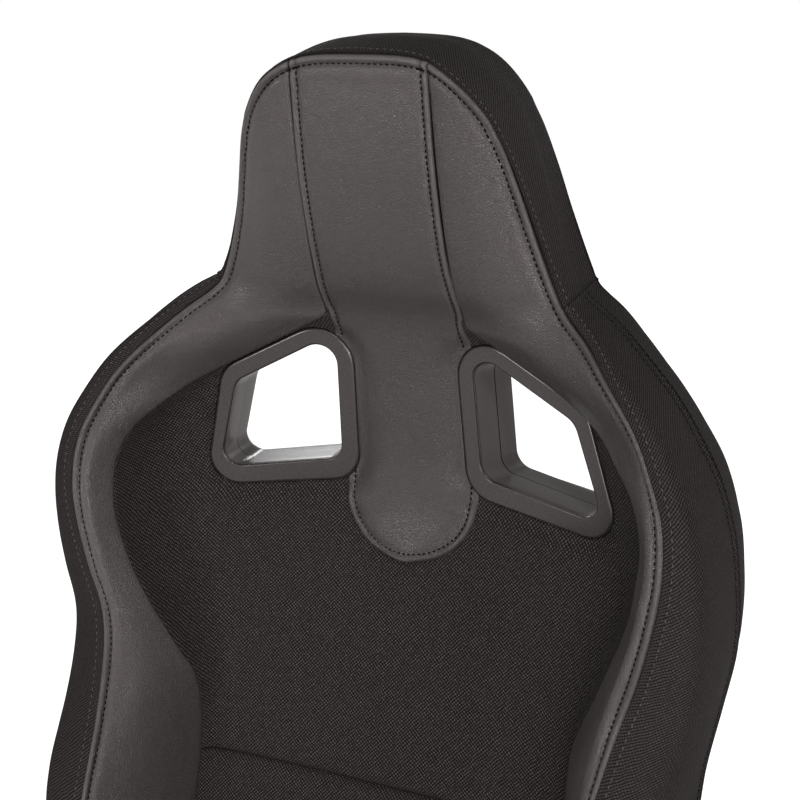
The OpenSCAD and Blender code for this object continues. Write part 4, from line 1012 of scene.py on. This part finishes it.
def gusset_rings(points, facing, keys, share, columns=90):
    """The dense outer curves from the leather edge to the rear shell, and the way back inside."""
    g = smooth(BULGE, keys) + 3 * share
    m = smooth(REAR_N, keys) - 3 * share
    y0 = points[:, 1]
    yr = smooth(REAR_Y, keys) - 0.15

    def section(*stations):
        made = [points * [1, 0, 1] + facing * (n + 0 * y)[:, None] + stack(0 * y, y, 0 * y)
                for n, y in stations]
        return np.stack(made, 1) + BACK_O

    outer = section((-1.2, y0 + 3.0), (0.1, y0 + 0.2), (0.28 * g, y0), (0.5 * g, y0 + 0.06 * g),
                    (0.86 * g, y0 + 0.32 * g), (g, y0 + 0.75 * g + 4), (g + 2, (y0 + yr) / 2),
                    (g, yr - 24), (m + 0.75 * (g - m), yr - 7), (m, yr))
    upper = np.minimum(np.maximum(m, 0) + 10, 10 + np.maximum(0, (-keys - 40) / 60) * (m - 10))
    thick = np.where(keys < -100, m, upper)
    inner = section((m - thick, yr - np.where(keys > 90, 3.2, 0)),
                    (-1.0, np.minimum(y0 + 14, yr - 6)))
    return through(outer, columns), inner


def border_height(run):
    """The fold by the leather edge, and the stitched valley behind it."""
    return 0.5 * bell(run - 5, 3) - 0.5 * bell(run - 10, 1.4)


def rear_line(outer, keys):
    """How far along each outer curve the rear seam lies."""
    return smooth(REAR_SEAM, keys)[:, None] * length_along(outer)[:, -1:]


def dress_gusset(outer, keys, ends, piped=1.0):
    """Sewn-in borders, the cross seam at each named end and the piped rear seam."""
    run = length_along(outer)
    off = np.abs(run - rear_line(outer, keys))
    along = length_along(outer.transpose(1, 0, 2)).T
    piped = piped * smooth(PIPED, keys)[:, None]
    height = border_height(run) - piped * 2.0 * bell(off, 1.0)
    height = height + piped * 0.7 * bell(off - 3.2, 1.6) - piped * 0.35 * bell(off - 6, 0.9)
    if "start" in ends:
        height = height + smooth(CROSS_SEAM, along)
    if "end" in ends:
        height = height + smooth(CROSS_SEAM, along[-1:] - along)
    return puffed(outer, -height)


def seam_columns(outer, keys, count):
    """Columns packed round the stitched row and the rear seam, and the places of both."""
    run = length_along(outer)
    front_part = [0, 0.8, 2, 3.5, 5, 6.5, 8, 9, 10, 11, 12.5, 15]
    rear_part = [-9, -7.2, -6, -4.8, -3.2, -1.8, -0.9, 0, 0.9, 1.8, 3.2, 4.8, 6, 7.2, 9]
    rear = rear_line(outer, keys)
    a = np.array(front_part)[None] + 0 * rear
    c = rear + np.array(rear_part)[None]
    mid = a[:, -1:] + (c[:, :1] - a[:, -1:]) * np.linspace(0, 1, count)[1:-1]
    tail = c[:, -1:] + (run[:, -1:] - c[:, -1:]) * np.linspace(0, 1, 7)[1:]
    want = np.concatenate([a, mid, c, tail], 1)
    rows = [np.stack([np.interp(w, r, p[:, k]) for k in range(3)], 1)
            for w, r, p in zip(want, run, outer)]
    return np.stack(rows), front_part.index(10), a.shape[1] + mid.shape[1] + rear_part.index(0)


def side_gussets():
    points, facing, keys, share = rim_stations()
    low = (points[:, 2] <= NECK_Z) & (share == 0)
    outer, inner = gusset_rings(points, facing, keys, share)
    outer, row_col, seam_col = seam_columns(outer, keys, 14)
    dressed = dress_gusset(outer[low], keys[low], ("end",))
    out = -normals(dressed)
    rings = np.concatenate([dressed, inner[low]], 1)
    for side, sign in SIDES:
        piece = ringed("side_gusset_" + side, turned(rings, sign)[::-1], "side_fabric")
        sewn(piece, 0.8, "back_gusset_" + side)
        place, away = dressed * [sign, 1, 1], out * [sign, 1, 1]
        stitches("gusset_stitch_" + side, place[:-3, row_col], away[:-3, row_col],
                 GUSSET_PITCH, SIDE_THREAD, GUSSET_YARN)
        for tag, shift in (("front", -5), ("rear", 5)):
            column = seam_col + shift
            stitches("rear_seam_%s_%s" % (tag, side), place[:-2, column], away[:-2, column],
                     REAR_PITCH, THREAD, REAR_YARN)
    high = ~low | (points[:, 2] == points[low][-1, 2])

    def over_crown(values, mirror=1):
        """Stations of the right side up to the spine, and their mirror images down the left."""
        return np.concatenate([values[high], (values[high] * mirror)[:-1][::-1]])

    dressed = dress_gusset(over_crown(outer, [-1, 1, 1]), over_crown(keys), ("start", "end"), 0.0)
    rings = np.concatenate([dressed, over_crown(inner, [-1, 1, 1])], 1)
    piece = ringed("crown_gusset", rings[::-1], "side_fabric")
    sewn(piece, 0.8, "headrest_gusset")
    stitches("crown_gusset_stitch", dressed[3:-3, row_col], -normals(dressed)[3:-3, row_col],
             GUSSET_PITCH, SIDE_THREAD, GUSSET_YARN)


# ---- rear shell ----
def rear_shell(cutters):
    z = np.linspace(FOOT_Z, TOP_Z, 140)
    edge = np.stack([smooth(EDGE_X, z), z], 1)
    t = unit(np.gradient(edge, axis=0))
    m = smooth(REAR_N, z) - smooth(RIM_INSET, z)
    half, height = edge[:, 0] + t[:, 1] * m, z - t[:, 0] * m
    c = np.sin(np.linspace(math.pi / 2, -math.pi / 2, 60))[None]
    a = np.abs(c)
    u = np.minimum(1, np.maximum(0, (z - ROUND_Z) / (TOP_Z - ROUND_Z)))
    deep = (smooth(SPINE_Y, z) - smooth(REAR_Y, z)) * np.sqrt(1 - u * u)
    y = smooth(REAR_Y, z)[:, None] + deep[:, None] * (1 - a ** smooth(BOXY, z)[:, None])
    up = height[:, None] + lift(z)[:, None] * (1 - a**CROWN_POWER)
    outside = stack(half[:, None] * c, y, up) + BACK_O
    piece = closed("moulded_shell", outside, outside - normals(outside) * SHELL_WALL, "shell_plastic")
    carve(piece, cutters)
    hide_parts("rear_shell")


# ---- cushion ----
def seat_base(y):
    return PAN_TOP + PAN_SLOPE * (y - PAN_FRONT)


def cushion_top(x, y):
    s, e, top = smooth(BOL_S, y), smooth(BOL_E, y), smooth(TOP_SEAT, y)
    k = np.abs(x) / s
    sunk = sum(4.5 * bell(y - seam, 6) for seam in CUSHION_SEAMS)
    flat = top + 7 * k**4 - 3 * k * k - sunk * (1 - np.minimum(k, 1) ** 8)
    b = np.clip((k - 1) * s / (e - s), 0, 1)
    side = (top + 4 + (smooth(BOL_Z, y) - top - 4) * np.sin(math.pi / 2 * b**0.85)
            + 3 * np.sin(math.pi * b))
    return np.where(k <= 1, flat, side)


def cushion_depth(y):
    """Where a station of the cushion's tables lies, with the rear drawn out to its place."""
    return NOSE_Y + (y - NOSE_Y) * (CUSHION_REAR - NOSE_Y) / (CUSHION_END - NOSE_Y)


def cushion_at(y, x):
    """Cushion top at rows y and signed distances x, in the seat's frame."""
    return stack(x, cushion_depth(y), cushion_top(x, y))


def under(points):
    return stack(points[..., 0], points[..., 1], seat_base(points[..., 1]))


def cushion():
    y = spaced(NOSE_Y, CUSHION_END, 5.0,
               (NOSE_Y, *CUSHION_SEAMS, CUSHION_END), 0.9)

    def panel(yy, a):
        return cushion_at(yy, smooth(BOL_S, yy) * (2 * a - 1))

    def bolster(yy, a):
        s, e = smooth(BOL_S, yy), smooth(BOL_E, yy)
        return cushion_at(yy, s + (e - s) * a)

    ends = np.minimum(y[:, None] - y[0], y[-1] - y[:, None])
    base = by_length(panel, y, PLAIN, PLAIN, 20)
    run = length_along(base)
    height = smooth(TUCK, np.minimum(run, run[:, -1:] - run)) + smooth(TUCK, ends)
    height = np.maximum(height, -3.2)
    for seam in CUSHION_SEAMS:
        height = height - 1.8 * bell(y[:, None] - seam, 0.9)
    piece = closed("cushion_fabric", puffed(base, height), under(base), "centre_fabric", "carriage")
    sewn(piece, 0.8, "cushion_insert")

    base = by_length(bolster, y, PLAIN, BORDER, 10)
    run = length_along(base)
    outer = run[:, -1:] - run
    height = smooth(EDGE_ROLL, outer) + smooth(TUCK, run) + smooth(TUCK, ends)
    front = puffed(base, np.maximum(height, -3.4) + puckers(base, outer, EDGE_STITCH))
    line, facing = level_line(front, outer, EDGE_STITCH, "right")
    for side, sign in SIDES:
        piece = closed("cushion_wing_" + side, turned(front, sign), turned(under(base), sign),
                       "leather", "carriage")
        sewn(piece, 0.8, "cushion_bolster_" + side)
        stitches("cushion_stitch_" + side, line * [sign, 1, 1], facing * [sign, 1, 1],
                 EDGE_PITCH, body="carriage")
    cushion_gussets(y)
    cushion_nose()


def cushion_gussets(y):
    e0 = smooth(BOL_E, y)
    z0 = cushion_top(e0, y)
    v = cushion_depth(y)
    b = seat_base(v)
    g = (40 + 6 * np.sin(math.pi * (y - NOSE_Y) / (CUSHION_END - NOSE_Y))
         - 8 * np.maximum(0, y / CUSHION_END) ** 4)
    steps = [(e0 - 1.2, z0 - 3), (e0, z0 - 0.2), (e0 + 0.42 * g, z0 - 0.5),
             (e0 + 0.82 * g, b + (z0 - b) * 0.91), (e0 + g, b + (z0 - b) * 0.76),
             (e0 + g, (z0 + b) / 2 - 4), (e0 + g - 6, b + 6), (e0 + g - 14, b)]
    outer = through(np.stack([stack(n, v, z) for n, z in steps], 1), 48)
    run = length_along(outer)
    low_seam = run[:, -1:] - 26
    height = border_height(run) - 1.4 * bell(run - low_seam, 1.5)
    outer = puffed(outer, -height - smooth(TUCK, y[:, None] - y[0]))
    rings = np.concatenate([outer, stack(e0 - 1.0, v, b)[:, None]], 1)
    for side, sign in SIDES:
        made = rings if sign > 0 else (rings * [-1, 1, 1])[::-1]
        piece = ringed("cushion_side_" + side, made, "side_fabric", "carriage")
        sewn(piece, 0.8, "cushion_gusset_" + side)


def cushion_nose():
    """Rolled leather front, one section for each distance from the middle."""
    e0 = float(smooth(BOL_E, NOSE_Y))
    w = e0 + 40
    x = w * np.sin(np.linspace(-math.pi / 2, math.pi / 2, 61))
    x[0], x[-1] = x[0] + 0.4, x[-1] - 0.4
    a = np.abs(x)
    u = np.maximum(0, (a - e0) / (w - e0))
    base_z = seat_base(NOSE_Y)
    top = (cushion_top(np.minimum(a, e0), NOSE_Y)
           - (cushion_top(e0, NOSE_Y) - base_z - 70) * u**3)
    out = (CUSHION_FRONT + NOSE_Y) * (1 - 0.86 * (a / w) ** 5)
    low = base_z + 26
    turn = np.radians(np.linspace(0, 90, 22))[None]
    y = NOSE_Y - out[:, None] * np.sin(turn) ** 0.9
    z = low + (top - low)[:, None] * np.cos(turn) ** 0.62
    start = stack(x, NOSE_Y - 0.2, top - 3)[:, None]
    low_y = NOSE_Y - out * 0.9
    drop = stack(x, low_y, seat_base(low_y))[:, None]
    outer = through(np.concatenate([start, stack(x[:, None], y, z), drop], 1), 60)
    run = length_along(outer)
    height = np.maximum(smooth(EDGE_ROLL, np.maximum(run - 3, 0)), -2.4)
    outer = puffed(outer, height * (u < 0.9)[:, None])
    rings = np.concatenate([outer, stack(x, NOSE_Y - 0.2, base_z)[:, None]], 1)
    piece = ringed("cushion_front_roll", rings, "leather", "carriage")
    sewn(piece, 0.8, "cushion_nose")
    keep = u < 0.3
    line, facing = level_line(outer[keep], run[keep], EDGE_STITCH + 3, "left")
    stitches("front_roll_stitch", line, facing, EDGE_PITCH, body="carriage")


# ---- solids that keep their own shape ----
def finish_solids():
    looks = {"lower_rail": RAIL, "upper_rail": RAIL, "lock_comb": RAIL, "ball_cage": CAGE,
             "recliner_hub": PLATED, "sync_shaft": PLATED, "frame_bolts": PLATED,
             "lumbar_wires": WIRE, "side_trim": TRIM, "shell_clips": TRIM,
             "recline_lever": GRIP}
    for name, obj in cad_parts.items():
        look = next((m for key, m in looks.items() if name.startswith(key)), COATED)
        for slot in obj.material_slots:
            slot.material = look


# ---- floor, light and camera ----
def white_world():
    """Even studio light, and plain white for what the camera and reflections see."""
    world = bpy.data.worlds.new("studio")
    world.use_nodes = True
    n = Nodes(world.node_tree)
    ground = n.tree.nodes["Background"]
    ground.inputs[0].default_value = rgb(1, 1, 1)
    ground.inputs[1].default_value = GROUND_LIGHT
    white = n.node("Background", None, rgb(1, 1, 1), 1.0)
    blend = n.node("MixShader", None, n.seen("Glossy", "Transmission"), ground.outputs[0],
                   white.outputs[0])
    n.put(n.tree.nodes["World Output"].inputs[0], blend.outputs[0])
    bpy.context.scene.world = world


def pale_floor():
    """A wide pale floor that shows white to the camera but keeps a soft shadow."""
    half = FLOOR_HALF
    mesh = bpy.data.meshes.new("floor")
    mesh.from_pydata([(-half, -half, 0), (half, -half, 0), (half, half, 0), (-half, half, 0)],
                     [], [(0, 1, 2, 3)])
    f = Finish("floor_paint", Roughness=0.9, Specular_IOR_Level=0.1)
    tone = f.mix(f.noise(f.where(), 3.0), rgb(0.80, 0.80, 0.80), rgb(0.84, 0.84, 0.84))
    f.put(f.shader.inputs["Base Color"], tone)
    glow = f.node("Emission", None, rgb(1, 1, 1), FLOOR_GLOW)
    blend = f.node("MixShader", None, f.times(f.seen("Glossy"), FLOOR_SHARE),
                   f.shader.outputs[0], glow.outputs[0])
    f.put(f.tree.nodes["Material Output"].inputs[0], blend.outputs[0])
    mesh.materials.append(f.material)
    add("floor", mesh)


def placed(name, data, right, up, back, where):
    """A new object with these axes at this place."""
    obj = add(name, data)
    obj.matrix_world = Matrix([[right[k], up[k], back[k], where[k]] for k in range(3)]
                              + [[0, 0, 0, 1]])
    return obj


def lamp(name, where, size, power):
    light = bpy.data.lights.new(name, "AREA")
    light.shape = "DISK"
    light.size = size
    light.energy = power
    back = unit(np.array(where) - LAMP_AIM)
    right = unit(np.cross([0, 0, 1], back))
    placed(name, light, right, np.cross(back, right), back, where).visible_camera = False


def camera():
    data = bpy.data.cameras.new("view")
    data.sensor_width = 36.0
    data.lens = 67.5
    bpy.context.scene.camera = placed("view", data, (0.8967, 0.4371, -0.0702),
                                      (-0.1106, 0.3748, 0.9205), (0.4286, -0.8176, 0.3844),
                                      (0.5015, -0.6301, 1.1696))


def build_seat():
    clear = opening(TUNNEL_WALL + TUNNEL_GAP)
    around = plate(PLATE_GAP)
    through_all = prism("through", tunnel_ring(clear, CUT_FRONT), tunnel_ring(clear, CUT_REAR))
    pocket = prism("pocket", plate_ring(around, POCKET_FRONT), plate_ring(around, BEZEL_T))
    leather_wings(through_all + pocket)
    leather_centre(through_all + pocket)
    fabric_centre(through_all + pocket)
    rear_shell(through_all)
    for cutter in through_all + pocket:
        bpy.data.objects.remove(cutter)
    slot_mouldings()
    side_gussets()
    cushion()
    finish_solids()


camera()
build_seat()
white_world()
pale_floor()
for row in LAMPS:
    lamp(*row)
bpy.context.scene.view_settings.view_transform = "Standard"
